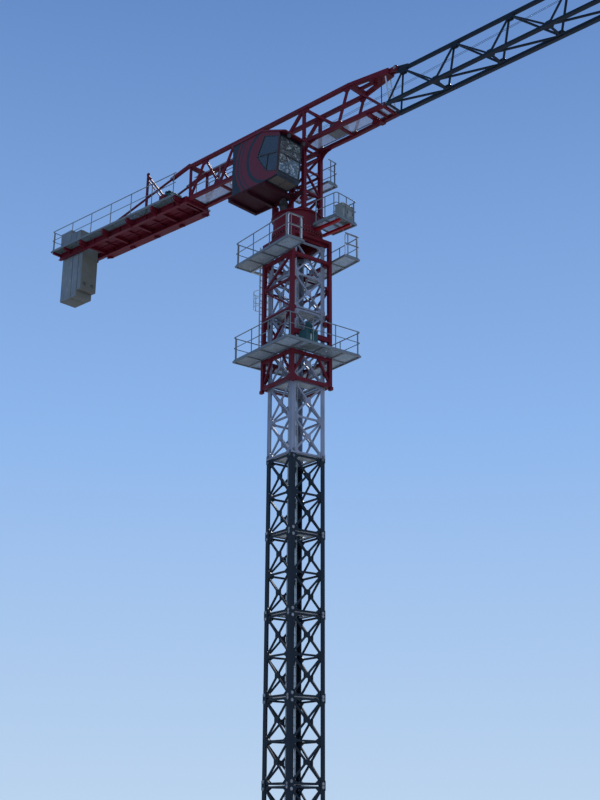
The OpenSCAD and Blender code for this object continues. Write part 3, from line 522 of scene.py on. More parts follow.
def striped_cab_paint(name, dark, red):
    """Dark cab paint with a coloured roof and visor, and plain arcs round the window on its two sides."""
    n = Nodes(name)
    place = n.xyz(n.place)
    across = n.maths("SUBTRACT", place["X"], ARCS_X)
    up = n.maths("SUBTRACT", place["Z"], ARCS_Z)
    reach = n.maths("SQRT", n.maths("ADD", n.maths("MULTIPLY", across, across), n.maths("MULTIPLY", up, up)))
    bands = 0.0
    for middle, half in ARCS:
        near = n.maths("ABSOLUTE", n.maths("SUBTRACT", reach, middle))
        bands = n.maths("ADD", bands, n.ramp(near, half + 0.006, half))
    sideways = n.ramp(n.maths("ABSOLUTE", n.normal()["Y"]), 0.7, 0.75)
    visor = n.maths("MULTIPLY", n.maths("MAXIMUM", n.maths("SUBTRACT", place["X"], VISOR_X), 0.0),
                    VISOR_SLOPE)
    above = n.ramp(n.maths("ADD", n.maths("SUBTRACT", place["Z"], ROOF_Z), visor), -0.008, -0.004)
    share = n.maths("MAXIMUM", above, n.maths("MULTIPLY", n.maths("MINIMUM", bands, 1.0), sideways))
    look, _, patches = weathered(n, n.mix(share, dark, red), chips=0.25, streaks=0.35, dust=0.25,
                                 chip_colour=(0.2, 0.2, 0.2))
    n.bump(n.noise(60, 3), 0.08, 0.002)
    return n.set(Base_Color=look, Specular_IOR_Level=0.35, Roughness=n.ramp(patches, 0, 1, 0.38, 0.5))


def window_glass(name):
    """Tinted panes: the side ones darker, the windscreen with wiped streaks of dust."""
    n = Nodes(name)
    film = n.ramp(n.noise(3.5, 5, 0.6, (1, 1, 0.5)), 0.45, 0.75, 0.02, 0.14)
    front = n.ramp(n.maths("ABSOLUTE", n.normal()["X"]), 0.6, 0.8)
    streaks = n.maths("MULTIPLY", front, n.ramp(n.noise(4.4, 6, 0.66, (1, 1.5, 2.6)), 0.49, 0.64))
    tint = n.mix(streaks, n.mix(front, (0.055, 0.085, 0.10), (0.22, 0.275, 0.285)), (0.55, 0.60, 0.62))
    return n.set(Base_Color=tint, Roughness=film, Transmission_Weight=n.ramp(streaks, 0, 1, 0.76, 0.35),
                 IOR=1.45, Coat_Weight=0.6, Coat_Roughness=0.03)


def rubber(name, colour=(0.018, 0.018, 0.02), rough=0.6):
    n = Nodes(name)
    look = n.mix(n.ramp(n.noise(5, 5), 0.35, 0.75), colour, shade(colour, 2.4))
    n.bump(n.noise(90, 3), 0.15, 0.001)
    return n.set(Base_Color=look, Roughness=n.ramp(n.noise(8, 3), 0.3, 0.7, rough - 0.08, rough + 0.1))


def vinyl(name, colour=(0.03, 0.032, 0.036)):
    n = Nodes(name)
    grain = n.cells(320)
    look = n.mix(n.ramp(n.noise(6, 4), 0.3, 0.7), colour, shade(colour, 1.7))
    n.bump(grain, 0.25, 0.0008)
    return n.set(Base_Color=look, Roughness=n.ramp(grain, 0, 0.5, 0.62, 0.48))


def wire_rope(name):
    """Greased steel rope with its strands' twist."""
    n = Nodes(name)
    lay = n.wave("DIAGONAL", 34, 0.4)
    look = n.mix(lay, (0.018, 0.018, 0.019), (0.05, 0.049, 0.048))
    n.bump(lay, 0.5, 0.002)
    return n.set(Base_Color=look, Metallic=0.4, Roughness=n.ramp(n.noise(12, 4), 0.3, 0.7, 0.5, 0.7))


FINISH = {}


def make_finishes():
    c = bpy.context.scene.crane_colours
    FINISH.update(
        dark_blue_paint=paint("slate_paint", tuple(c.slate), streaks=0.35, chips=0.35, dust=0.35),
        grey_paint=paint("pale_paint", tuple(c.pale), streaks=0.45, chips=0.7, dust=0.3),
        red_paint=paint("red_paint", tuple(c.red), streaks=0.5, chips=0.45, dust=0.35),
        bright_red=paint("bright_red_paint", tuple(c.bright_red), rough=0.36, streaks=0.3, chips=0.3,
                         dust=0.25),
        galvanised_steel=zinc("zinc"),
        # dark zinc: the railings' own, and on the gratings' frames and joists a painted shade that sets them
        # dark against the bars
        rail_zinc=zinc("rail_zinc", (0.17, 0.19, 0.20)),
        # pale zinc: the gates' own, and on the walkway gratings' bars a painted light that stands in for sky
        # light showing through them from below
        gate_zinc=zinc("gate_zinc", (0.62, 0.60, 0.62)),
        walkway_zinc=zinc("walkway_zinc", (0.17, 0.20, 0.18)),
        # painted shade: a darkened copy of the red for the cab's platform, standing in for the shadow under
        # the cab
        shaded_red=paint("cab_platform_painted_shade", (0.040, 0.006, 0.011), rough=0.6, streaks=0.7, chips=0.3,
                         dust=0.2),
        foot_panel=paint("foot_panel", (0.12, 0.105, 0.090), rough=0.6, streaks=0.8, chips=0.5, dust=0.1),
        teal_paint=paint("machine_paint", tuple(c.machine), streaks=0.5, chips=0.3, dust=0.3),
        dark_paint=paint("motor_paint", (0.045, 0.047, 0.052), streaks=0.4, chips=0.3, dust=0.3),
        cabinet_paint=paint("cabinet_paint", (0.25, 0.285, 0.28), rough=0.5, streaks=0.45, chips=0.15,
                            dust=0.3),
        cab_paint=striped_cab_paint("cab_paint", tuple(c.cab), tuple(c.red)),
        glass=window_glass("glass"),
        seat_vinyl=vinyl("seat_vinyl"),
        wire_rope=wire_rope("wire_rope"),
        concrete=poured_concrete("cast_concrete"),
        rubber=rubber("rubber"),
        steel=bare_steel("bare_steel"),
        bright_steel=bare_steel("ram_steel", (0.55, 0.56, 0.57), 0.95, 0.18),
        lamp=paint("lamp_lens", (0.55, 0.05, 0.03), rough=0.2, streaks=0.1, chips=0.0, dust=0.2),
        lamp_clear=paint("lamp_glass", (0.62, 0.63, 0.60), rough=0.15, streaks=0.1, chips=0.0, dust=0.2),
    )


# Sizes and colours that a user may change

class CraneSizes(bpy.types.PropertyGroup):
    """Sizes of the fittings."""
    rail_radius: bpy.props.FloatProperty(
        name="Rail radius", description="Outer radius of the handrails' tubes",
        default=0.021, min=0.015, max=0.03, unit="LENGTH")
    toe_height: bpy.props.FloatProperty(
        name="Toe board height", description="Height of the boards along the decks' edges",
        default=0.05, min=0.04, max=0.15, unit="LENGTH")
    grating_pitch: bpy.props.FloatProperty(
        name="Grating pitch", description="Distance between two bearing bars of a grating",
        default=0.042, min=0.03, max=0.08, unit="LENGTH")
    pin_radius: bpy.props.FloatProperty(
        name="Mast pin radius", description="Radius of the pins that join the mast sections",
        default=0.032, min=0.02, max=0.045, unit="LENGTH")
    ring_bolts: bpy.props.IntProperty(
        name="Ring bolts", description="Number of bolts round the slewing ring",
        default=48, min=24, max=72)
    rope_pitch: bpy.props.FloatProperty(
        name="Rope pitch", description="Distance between two turns of rope on the winch",
        default=0.0165, min=0.014, max=0.03, unit="LENGTH")


class CraneColours(bpy.types.PropertyGroup):
    """Paint colours."""
    slate: bpy.props.FloatVectorProperty(
        name="Slate", description="Paint of the lower mast and the jib",
        default=(0.009, 0.017, 0.027), min=0, max=1, subtype="COLOR")
    pale: bpy.props.FloatVectorProperty(
        name="Pale grey", description="Paint of the upper mast",
        default=(0.22, 0.245, 0.31), min=0, max=1, subtype="COLOR")
    red: bpy.props.FloatVectorProperty(
        name="Crimson", description="Paint of the cage, the tower, the truss and the counter-jib",
        default=(0.115, 0.006, 0.015), min=0, max=1, subtype="COLOR")
    bright_red: bpy.props.FloatVectorProperty(
        name="Bright red", description="Paint of the cabinet's platform arms",
        default=(0.36, 0.014, 0.020), min=0, max=1, subtype="COLOR")
    machine: bpy.props.FloatVectorProperty(
        name="Machine green", description="Paint of the hydraulics and the winches' frames",
        default=(0.028, 0.085, 0.09), min=0, max=1, subtype="COLOR")
    cab: bpy.props.FloatVectorProperty(
        name="Cab", description="Dark paint of the cab",
        default=(0.008, 0.017, 0.026), min=0, max=1, subtype="COLOR")


# Parts that many pieces share

def hex_bolt(start, along, radius=0.016, high=0.014):
    """A bolt's head on its washer."""
    start, along = Vector(start), Vector(along).normalized()
    seat = start + along * 0.004       # the washer's thickness
    return [rod(seat, seat + along * high, radius, 6), rod(start, seat, radius * 1.25, 12)]


def pin(start, along, length, radius):
    """A pin with its head, a collar and a split pin's end."""
    return stepped_rod(start, along, [
        (0.016, radius * 1.5), (length, radius), (0.012, radius * 1.35), (0.02, radius * 0.8)], 14)


def rim(x0, y0, x1, y1, wide):
    """The corners of the four strips that line a rectangle's edge."""
    return (((x0, y0), (x1, y0 + wide)), ((x0, y1 - wide), (x1, y1)),
            ((x0, y0 + wide), (x0 + wide, y1 - wide)), ((x1 - wide, y0 + wide), (x1, y1 - wide)))


def grating(low, high, top, deep=0.075):
    """A deck panel: a lipped channel frame, bearing bars, cross rods and joists."""
    (x0, y0), (x1, y1) = low, high
    wall, lip = 0.008, 0.042                             # the channel's plate and its lip inside it
    bar_foot, bar_top, half_bar = top - 0.024, top - 0.002, 0.0025
    rod_gap, rod_wide, rod_foot = 0.11, 0.006, top - 0.010
    joist_gap, half_joist = 0.95, 0.025
    foot = top - deep
    frame_parts = [block((*a, foot), (*b, top)) for a, b in rim(x0, y0, x1, y1, wall)]
    frame_parts += [block((*a, foot), (*b, foot + wall))
                    for a, b in rim(x0 + wall, y0 + wall, x1 - wall, y1 - wall, lip)]
    inner_x, inner_y = x1 - x0 - 2 * wall, y1 - y0 - 2 * wall
    if inner_x >= inner_y:
        long, step, across = inner_x, Vector(ALONG), Vector((0, inner_y, 0))
    else:
        long, step, across = inner_y, Vector(ACROSS), Vector((inner_x, 0, 0))
    start = Vector((x0 + wall, y0 + wall, 0))

    def crosswise(middle, half, low_z, high_z):
        """A bar across the panel, at a distance along it."""
        return block(start + step * (middle - half) + Vector((0, 0, low_z)),
                     start + step * (middle + half) + across + Vector((0, 0, high_z)))

    count = int(long / bpy.context.scene.crane_sizes.grating_pitch)
    pace = long / count
    bars = [row(crosswise(pace / 2, half_bar, bar_foot, bar_top), count, step * pace)]
    rods = max(2, round(across.length / rod_gap))
    gap = across / rods
    first = start + gap / 2
    cross = block(first + Vector((0, 0, rod_foot)),
                  first + across.normalized() * rod_wide + step * long + Vector((0, 0, bar_top)))
    bars.append(row(cross, rods, gap))
    if long > 1.2 and deep > 0.05:
        joists = max(1, round(long / joist_gap) - 1)
        pace = long / (joists + 1)
        frame_parts.append(row(crosswise(pace, half_joist, foot, bar_foot), joists, step * pace))
    # the frame and joists take the dark zinc: painted shade, dark against the paler bars as when seen in
    # shade from below
    return painted(frame_parts, "rail_zinc") + bars


def railing(corners, height, spacing=1.3, closed=False, toe=True):
    """Handrail of round tube: rounded top and knee rails, footed posts and toe boards."""
    sizes = bpy.context.scene.crane_sizes
    radius, knee, corner_gap = sizes.rail_radius, height * 0.53, 0.14
    corners = [Vector(c) for c in corners]
    up = Vector(UP)
    parts = [tube([c + up * (height - radius) for c in corners], radius, 0.09, closed=closed),
             tube([c + up * knee for c in corners], radius * 0.8, 0.07, closed=closed)]
    post = [rod((0, 0, 0.006), (0, 0, height - radius), radius, 10),
            block((-0.055, -0.032, 0), (0.055, 0.032, 0.01))]
    for x in (-0.038, 0.038):
        post += hex_bolt((x, 0, 0.01), up, 0.011, 0.009)
    ends = corners[1:] + corners[:1] if closed else corners[1:]
    places = []
    for a, b in zip(corners, ends):
        along = (b - a).normalized()
        length = (b - a).length
        inset = min(corner_gap, length / 4)
        count = max(1, round((length - 2 * inset) / spacing))
        turn = Matrix.Rotation(math.atan2(along.y, along.x), 4, "Z")
        for k in range(count + 1):
            spot = a + along * (inset + (length - 2 * inset) * k / count)
            places.append(Matrix.Translation(spot) @ turn)
        if toe:
            lift = up * sizes.toe_height / 2
            parts.append(bar(a + along * 0.03 + lift, b - along * 0.03 + lift, 0.005, sizes.toe_height))
    return painted(parts + copies(post, places), "rail_zinc")


def gusset(x, y, z, long, high, thick, up=1, tip=0.45):
    """A trapezoid plate on a chord's node, in the X-Z plane."""
    return plate([(-long / 2, 0), (long / 2, 0), (long / 2 * tip, high), (-long / 2 * tip, high)],
                 (x, y, z), ALONG, (0, 0, up), thick)


# The add-on's operators

class CRANE_OT_stage(bpy.types.Operator):
    """Sets the camera, the pale floor, the sky light and a soft sun"""
    bl_idname = "crane.stage"
    bl_label = "Camera and studio"

    def execute(self, context):
        clear_selection()
        heading = Vector((-0.6847, 0.7288, 0)).normalized()
        pitch, roll = math.radians(19.10), math.radians(0.331)
        forward = heading * math.cos(pitch) + Vector(UP) * math.sin(pitch)
        level = forward.cross(Vector(UP)).normalized()
        right = level * math.cos(roll) + level.cross(forward) * math.sin(roll)
        turn = Matrix((right, right.cross(forward), -forward)).transposed()
        bpy.ops.object.camera_add(location=(30.84, -32.60, 1.92), rotation=turn.to_euler())
        camera = context.active_object
        camera.name = "camera"
        camera.data.sensor_width = 36
        camera.data.lens = 54.32
        camera.data.clip_end = 800
        context.scene.camera = camera

        bpy.ops.mesh.primitive_plane_add(size=600, location=(0, 0, -0.002))
        floor = context.active_object
        floor.name = "floor"
        floor.data.materials.append(floor_finish())

        world = bpy.data.worlds.new("sky")
        world.use_nodes = True
        tree = world.node_tree
        heights = tree.nodes.new("ShaderNodeSeparateXYZ")
        blend = tree.nodes.new("ShaderNodeValToRGB")
        tree.links.new(tree.nodes.new("ShaderNodeTexCoord").outputs["Generated"], heights.inputs[0])
        tree.links.new(heights.outputs["Z"], blend.inputs[0])
        tree.links.new(blend.outputs[0], tree.nodes["Background"].inputs["Color"])
        stops = blend.color_ramp.elements
        stops[0].position, stops[0].color = 0.0, (0.50, 0.66, 0.86, 1)
        stops[1].position, stops[1].color = 0.62, (0.125, 0.25, 0.56, 1)
        middle = stops.new(0.3)
        middle.color = (0.27, 0.47, 0.84, 1)
        context.scene.world = world

        for name, height, heading, power, width, colour in (
                ("sun", 46, -152, 2.8, 9, (1.0, 0.96, 0.90)),
                ("fill", 70, 75, 0.4, 60, (1.0, 0.93, 0.80))):
            bpy.ops.object.light_add(type="SUN", rotation=(math.radians(height), 0, math.radians(heading)))
            lamp = context.active_object
            lamp.name = name
            lamp.data.energy = power
            lamp.data.angle = math.radians(width)
            lamp.data.color = colour
        context.scene.view_settings.view_transform = "Standard"
        return {"FINISHED"}


def floor_finish():
    n = Nodes("pale_floor")
    look = n.mix(n.ramp(n.noise(0.4, 4), 0.3, 0.7), (0.46, 0.46, 0.45), (0.52, 0.52, 0.51))
    return n.set(Base_Color=look, Roughness=0.9)


class CRANE_OT_finishes(bpy.types.Operator):
    """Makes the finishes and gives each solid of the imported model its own"""
    bl_idname = "crane.finishes"
    bl_label = "Finishes"

    def execute(self, context):
        make_finishes()
        slots = {part["node"]: part["material_slot"] for part in frame["record"]["subparts"]}
        # the cab's platform takes the painted shade red, the shadow under the cab painted into its colour
        own = {"cab_platform": "shaded_red", "jib_pulleys": "red_paint"}
        for name, node in frame["nodes"].items():
            for place in node.material_slots:
                place.material = FINISH[own.get(name, slots[name])]
        return {"FINISHED"}


class CRANE_OT_mast_fittings(bpy.types.Operator):
    """Adds the mast's joint pins, crossing plates, gussets, step plates and anchor bolts"""
    bl_idname = "crane.mast_fittings"
    bl_label = "Mast fittings"

    def execute(self, context):
        radius = context.scene.crane_sizes.pin_radius
        face_y, middle, head = -MAST_HALF + 0.045, SECTION / 2, SECTION - 0.06

        def section_plates(low=0.06):
            """Plates of one face of one section, whose foot is at height 0."""
            parts = []
            for z in ((middle + low) / 2, (head + middle) / 2):
                parts.append(block((-0.13, face_y - 0.035, z - 0.1), (0.13, face_y + 0.035, z + 0.1), 0.006))
            for side in (-1, 1):
                for z, up, down in ((middle, 0.2, 0.2), (head, 0.0, 0.24), (low, 0.24, 0.0)):
                    outline = ((0, -down), (0.15, -down * 0.45), (0.24, -0.036), (0.24, 0.036),
                               (0.15, up * 0.45), (0, up))
                    parts.append(plate([(u * -side, v) for u, v in outline],
                                       (side * 0.66, face_y, z), ALONG, UP, 0.074))
            return parts

        def joint_pins(level):
            """The pins above and below a leg's joint, each with its collar, on the leg's two faces."""
            parts = []
            for sign in (1, -1):
                z = level + sign * 0.055
                high = level + sign * 0.125
                parts.append(pin((LEG_MID, -MAST_HALF - 0.032, z), ACROSS, 0.236, radius))
                parts.append(pin((MAST_HALF + 0.032, -LEG_MID, high), (-1, 0, 0), 0.236, radius))
                parts.append(rod((LEG_MID, -MAST_HALF - 0.022, z), (LEG_MID, -MAST_HALF - 0.01, z),
                                 radius * 1.9, 16))
                parts.append(rod((MAST_HALF + 0.022, -LEG_MID, high), (MAST_HALF + 0.01, -LEG_MID, high),
                                 radius * 1.9, 16))
            return parts

        dark, pale = range(1, DARK_SECTIONS), range(DARK_SECTIONS, SECTIONS)
        for name, slot, sections, joints in (
                ("slate_mast_fittings", "dark_blue_paint", dark, [*dark, DARK_SECTIONS]),
                ("pale_mast_fittings", "grey_paint", pale, pale)):
            parts = copies(section_plates(), moved(UP, [SECTION * k for k in sections]))
            if sections == dark:
                parts += section_plates(0.36)    # the first section stands on the base frame
            parts += painted([part for k in joints for part in joint_pins(SECTION * k)], "steel")
            piece(name, four_corners(parts), "mast", slot, MAST_TURN)

        bolts = []
        for x, y in ((0.87, -0.70), (0.70, -0.87), (0.87, -0.86)):
            bolts.append(stepped_rod((x, y, 0.04), UP,
                                     [(0.012, 0.05), (0.03, 0.034), (0.024, 0.034), (0.07, 0.018)], 6))
        for place, outward in (((0.814, -0.70, 0.04), ALONG), ((0.70, -0.814, 0.04), (0, -1, 0))):
            bolts.append(plate([(0, 0), (0.11, 0), (0, 0.2)], place, outward, UP, 0.014))
        bolts += painted(joint_pins(0.30), "steel")
        piece("base_fittings", four_corners(bolts), "mast", "dark_blue_paint", MAST_TURN)
        return {"FINISHED"}


class CRANE_OT_cage_decks(bpy.types.Operator):
    """Replaces the climbing cage's two decks and their railings by gratings and round tube"""
    bl_idname = "crane.cage_decks"
    bl_label = "Cage decks and railings"

    def execute(self, context):
        d, c = DECK_HALF, CAGE_OUT
        (hatch_back, hatch_low), (hatch_front, hatch_high) = HATCH
        strips = {"near": ((-d, -d), (d, -c)), "far": ((-d, c), (d, d)),
                  "back": ((-d, -c), (-c, c)), "front": ((c, -c), (d, c))}
        for deck, level, sides in (("lower", LOWER_DECK, ("near", "far", "back", "front")),
                                   ("upper", UPPER_DECK, ("near", "far", "back"))):
            parts = []
            for side in sides:
                if (deck, side) == ("upper", "back"):
                    parts += grating((-d, hatch_high), (-c, c), level)
                    parts += grating((hatch_front, hatch_low), (-c, hatch_high), level)
                    parts.append(block((-d, hatch_low, level - 0.075), (hatch_back, hatch_high, level)))
                    parts.append(block((-d, -c, level - 0.075), (-c, hatch_low, level)))
                else:
                    parts += grating(*strips[side], level)
            whole = piece(f"{deck}_deck_grating", parts, "mast", "galvanised_steel", MAST_TURN)
            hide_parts(f"cage_{deck}_deck")
        edge, near = d - 0.025, c + 0.06
        loop = [(x, y, LOWER_DECK) for x, y in ((-edge, -edge), (edge, -edge), (edge, edge), (-edge, edge))]
        whole = piece("lower_deck_railing", railing(loop, 1.02, closed=True), "mast", "galvanised_steel",
                      MAST_TURN)
        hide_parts("cage_lower_railing")
        path = [(x, y, UPPER_DECK) for x, y in ((edge, -near), (edge, -edge), (-edge, -edge),
                                                (-edge, edge), (edge, edge), (edge, near))]
        whole = piece("upper_deck_railing", railing(path, 1.02), "mast", "galvanised_steel", MAST_TURN)
        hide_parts("cage_upper_railing")

        level, gate_x, post_x = UPPER_DECK, edge - 0.045, edge - 0.16
        gates = []
        for y0, y1 in ((-edge, -near), (near, edge)):
            low, high = y0 + 0.04, y1 - 0.04
            foot, middle, top = level + 0.03, level + 0.54, level + 1.0
            gates.append(tube([(gate_x, low, foot), (gate_x, low, top), (gate_x, high, top),
                               (gate_x, high, foot)],
                              0.03, 0.14))
            gates.append(tube([(gate_x, low, middle), (gate_x, high, middle)], 0.02))
            for y in (low, high):
                gates.append(block((edge - 0.1, y - 0.05, level), (edge + 0.01, y + 0.05, level + 0.012)))
        gates.append(tube([(post_x, 0.03 - edge, level + 0.02), (post_x, 0.03 - edge, level + 1.0)], 0.024))
        piece("upper_deck_gates", gates, "mast", "galvanised_steel", MAST_TURN, "gate_zinc")

        x, y = -1.295, -0.695          # the ladder's middle, between its rails
        angles = [math.pi * (0.13 + 0.74 * k / 12) for k in range(13)]
        arc = [Vector((x - 0.6 * math.sin(a), y + 0.34 * math.cos(a), 0)) for a in angles]
        arc = [Vector((x, y + 0.215, 0)), *arc, Vector((x, y - 0.215, 0))]
        hoops = copies([tube(arc, 0.014)], moved(UP, (21.72, 22.06, 22.4)))
        for k in (2, 7, 12):
            hoops.append(bar(arc[k] + Vector((0, 0, 21.70)), arc[k] + Vector((0, 0, 22.42)), 0.03, 0.008))
        piece("ladder_hoops", hoops, "mast", "galvanised_steel", MAST_TURN)
        return {"FINISHED"}


class CRANE_OT_cage_fittings(bpy.types.Operator):
    """Adds the cage's gussets, guide rollers, the ram's rod and collars, and the pump's hoses"""
    bl_idname = "crane.cage_fittings"
    bl_label = "Cage fittings"

    def execute(self, context):
        parts, c = [], 0.94            # the middle of the cage's legs
        ear = ((0, -0.12), (0.11, -0.045), (0.11, 0.045), (0, 0.12))
        foot_ear = ((0, -0.06), (0.2, -0.05), (0.2, 0.05), (0, 0.2))
        for z, outline in (*[(z, ear) for z in CAGE_STEPS], (17.98, foot_ear)):
            for side in (-1, 1):
                parts.append(plate([(u * -side, v) for u, v in outline], (side * (c - 0.075), -c, z),
                                   ALONG, UP, 0.1))
        for z in (18.4, 20.5, 23.1):
            parts.append(rod((c - 0.04, -c - 0.004, z), (c - 0.04, -c - 0.09, z), 0.05, 16))
            parts += hex_bolt((c - 0.04, -c - 0.09, z), (0, -1, 0), 0.02, 0.012)
            parts.append(block((c - 0.07, -c - 0.085, z - 0.11), (c + 0.07, -c - 0.075, z + 0.11), 0.003))
        piece("cage_gussets", four_corners(parts), "mast", "red_paint", MAST_TURN)

        def spot(x, y, z):
            """A place measured from the ram's foot."""
            return RAM + Vector((x, y, z))

        ram = painted([rod(spot(0, 0, 1.5), spot(0, 0, 2.11), 0.0605, 28)], "bright_steel")
        for low, high, wide in ((0.0, 0.03, 0.122), (0.06, 0.09, 0.118), (1.40, 1.43, 0.118),
                                (1.47, 1.53, 0.122)):
            ram.append(rod(spot(0, 0, low), spot(0, 0, high), wide, 32))
        bolt = rod(spot(0.1, 0, 1.53), spot(0.1, 0, 1.545), 0.011, 6)
        ram += painted([ring(bolt, 10, (RAM.x, 0, 0))], "steel")
        for low in (0.12, 1.36):
            ram.append(rod(spot(-0.1, 0, low), spot(-0.16, 0, low), 0.028, 16))
        pipes = [tube([spot(-0.15, 0, 1.36), spot(-0.19, 0, 1.36), spot(-0.19, 0.03, 0.4),
                       spot(-0.16, 0.1, 0.28)],
                      0.012, 0.06),
                 tube([spot(-0.15, 0, 0.12), spot(-0.2, 0, 0.12), spot(-0.2, -0.04, 0.4)], 0.012, 0.05)]
        for z in (0.5, 0.8, 1.1):
            pipes.append(block(spot(-0.2, -0.02, z), spot(-0.1, 0.05, z + 0.03), 0.004))
        ram += painted(pipes, "rubber")
        low, high = Vector((CAGE_OUT + 0.09, -0.7, LOWER_DECK)), Vector((CAGE_OUT + 0.56, -0.15,
                                                                         LOWER_DECK + 0.62))
        ram.append(block((low.x - 0.01, low.y - 0.01, high.z - 0.02),
                         (high.x + 0.01, high.y + 0.01, high.z + 0.012), 0.004))
        px, py = CAGE_OUT + 0.32, -0.42
        ram.append(ring(block((px + 0.128, py - 0.004, high.z + 0.05),
                              (px + 0.15, py + 0.004, high.z + 0.27)), 20, (px, py, 0)))
        ram.append(stepped_rod((px, py, high.z + 0.012), UP, [(0.02, 0.15), (0.01, 0.14)], 28))
        ram.append(stepped_rod((px, py, high.z + 0.33), UP, [(0.02, 0.12), (0.02, 0.10)], 28))
        ram.append(stepped_rod((low.x + 0.1, low.y + 0.09, high.z + 0.012), UP,
                               [(0.03, 0.03), (0.025, 0.042)], 16))
        ram += painted([block((high.x, low.y + 0.2, low.z + 0.2),
                              (high.x + 0.008, low.y + 0.23, low.z + 0.45), 0.002)], "lamp_clear")
        for y in (low.y + 0.05, high.y - 0.08):
            ram.append(block((low.x - 0.02, y, low.z), (high.x + 0.02, y + 0.03, low.z + 0.05)))
        ram.append(block((high.x + 0.004, -0.55, LOWER_DECK + 0.48),
                         (high.x + 0.08, -0.3, LOWER_DECK + 0.56), 0.006))
        for k in range(4):
            lever = Vector((high.x + 0.06, -0.52 + k * 0.06, LOWER_DECK + 0.56))
            ram += painted([stepped_rod(lever, UP, [(0.03, 0.006), (0.03, 0.011)], 10)], "rubber")
        piece("jacking_fittings", ram, "mast", "teal_paint", MAST_TURN)
        return {"FINISHED"}


class CRANE_OT_ring_bolts(bpy.types.Operator):
    """Adds the slewing ring's bolts and the motors' flanges and fins"""
    bl_idname = "crane.ring_bolts"
    bl_label = "Slewing ring and motors"

    def execute(self, context):
        count = context.scene.crane_sizes.ring_bolts
        for name, body, z, along in (("ring_bolts_above", "upper", SLEW_Z + 0.12, UP),
                                     ("ring_bolts_below", "mast", SLEW_Z - 0.0705, (0, 0, -1))):
            bolt = hex_bolt((1.03, 0, z), along, 0.017, 0.02)
            piece(name, [ring(part, count) for part in bolt], body, "dark_paint", finish="steel")

        parts = []
        for side in (-1, 1):
            y = side * 0.83
            parts.append(ring(block((0.147, y - 0.006, DRUM_TOP + 0.28), (0.118, y + 0.006, DRUM_TOP + 0.56)),
                              24, (0, y, 0)))
            for z in (0.0, 0.245):
                parts.append(stepped_rod((0, y, DRUM_TOP + z), UP, [(0.018, 0.172), (0.004, 0.165)], 32))
                bolt = hex_bolt((0.16, y, DRUM_TOP + z + 0.02), UP, 0.009, 0.01)
                parts += [ring(b, 12, (0, y, 0)) for b in bolt]
            parts.append(block((-0.06, y + side * 0.10, DRUM_TOP + 0.38),
                               (0.06, y + side * 0.19, DRUM_TOP + 0.52), 0.01))
            parts.append(tube([(0.03, y + side * 0.15, DRUM_TOP + 0.38),
                               (0.03, y + side * 0.17, DRUM_TOP + 0.2),
                               (0.12, y + side * 0.16, DRUM_TOP + 0.02)], 0.012, 0.08))
        piece("motor_flanges", parts, "upper", "dark_paint")
        return {"FINISHED"}


class CRANE_OT_platforms(bpy.types.Operator):
    """Replaces the tower's walkway and the cabinet's platform by gratings, arms and tube railings"""
    bl_idname = "crane.platforms"
    bl_label = "Tower walkway and cabinet platform"

    def execute(self, context):
        level = 27.0
        parts = grating((-1.0, 0.58), (1.2, 1.18), level, 0.09)
        path = [(x, y, level) for x, y in ((1.18, 0.64), (1.18, 1.16), (-0.98, 1.16), (-0.98, 0.64))]
        parts += railing(path, 1.05, 1.1)
        # the walkway's bars take the pale zinc: painted light for the sky seen through the grating from below
        whole = piece("tower_walkway_grating", parts, "upper", "galvanised_steel", finish="gate_zinc")
        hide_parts("tower_walkway")

        level = 24.7
        parts = grating((1.13, -0.28), (2.42, 0.96), level, 0.09)
        path = [(x, y, level) for x, y in ((1.15, -0.26), (2.40, -0.26), (2.40, 0.94), (1.15, 0.94))]
        parts += railing(path, 1.0, 0.6)
        arms = []
        for y, start in ((0.0, 1.062), (0.62, 0.87)):
            for z in (24.51, 24.596):
                arms.append(block((start, y - 0.06, z), (2.35, y + 0.06, z + 0.014)))
            arms.append(block((start, y - 0.006, 24.524), (2.35, y + 0.006, 24.596)))
            for x in (1.4, 1.75, 2.1):
                arms.append(block((x, y - 0.058, 24.524), (x + 0.01, y + 0.058, 24.596)))
        parts += painted(arms, "bright_red")
        whole = piece("cabinet_platform_grating", parts, "upper", "galvanised_steel")
        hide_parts("cabinet_platform")

        low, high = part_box("electric_cabinet")
        parts = []
        for k in range(2):
            y0 = low.y + 0.02 + k * (high.y - low.y - 0.03) / 2
            y1 = y0 + (high.y - low.y - 0.05) / 2
            parts.append(block((high.x, y0, low.z + 0.03), (high.x + 0.012, y1, high.z - 0.04), 0.004))
            parts.append(block((low.x - 0.012, y0, low.z + 0.03), (low.x, y1, high.z - 0.04), 0.004))
            for x in (high.x + 0.012, low.x - 0.02):
                slat = block((x - 0.002, y0 + 0.05, low.z + 0.1), (x + 0.008, y1 - 0.05, low.z + 0.108))
                parts.append(row(slat, 6, (0, 0, 0.022)))
            parts += painted([block((high.x + 0.012, y1 - 0.06, low.z + 0.3),
                                    (high.x + 0.03, y1 - 0.04, low.z + 0.42), 0.004)],
                             "dark_paint")
        roof = block((low.x - 0.03, low.y - 0.03, high.z), (high.x + 0.03, high.y + 0.03, high.z + 0.03),
                     0.008)
        parts.append(roof)
        for y in (low.y + 0.06, high.y - 0.06):
            parts.append(block((low.x + 0.02, y - 0.02, low.z), (high.x - 0.02, y + 0.02, low.z + 0.03)))
        piece("cabinet_doors", parts, "upper", "cabinet_paint")
        return {"FINISHED"}


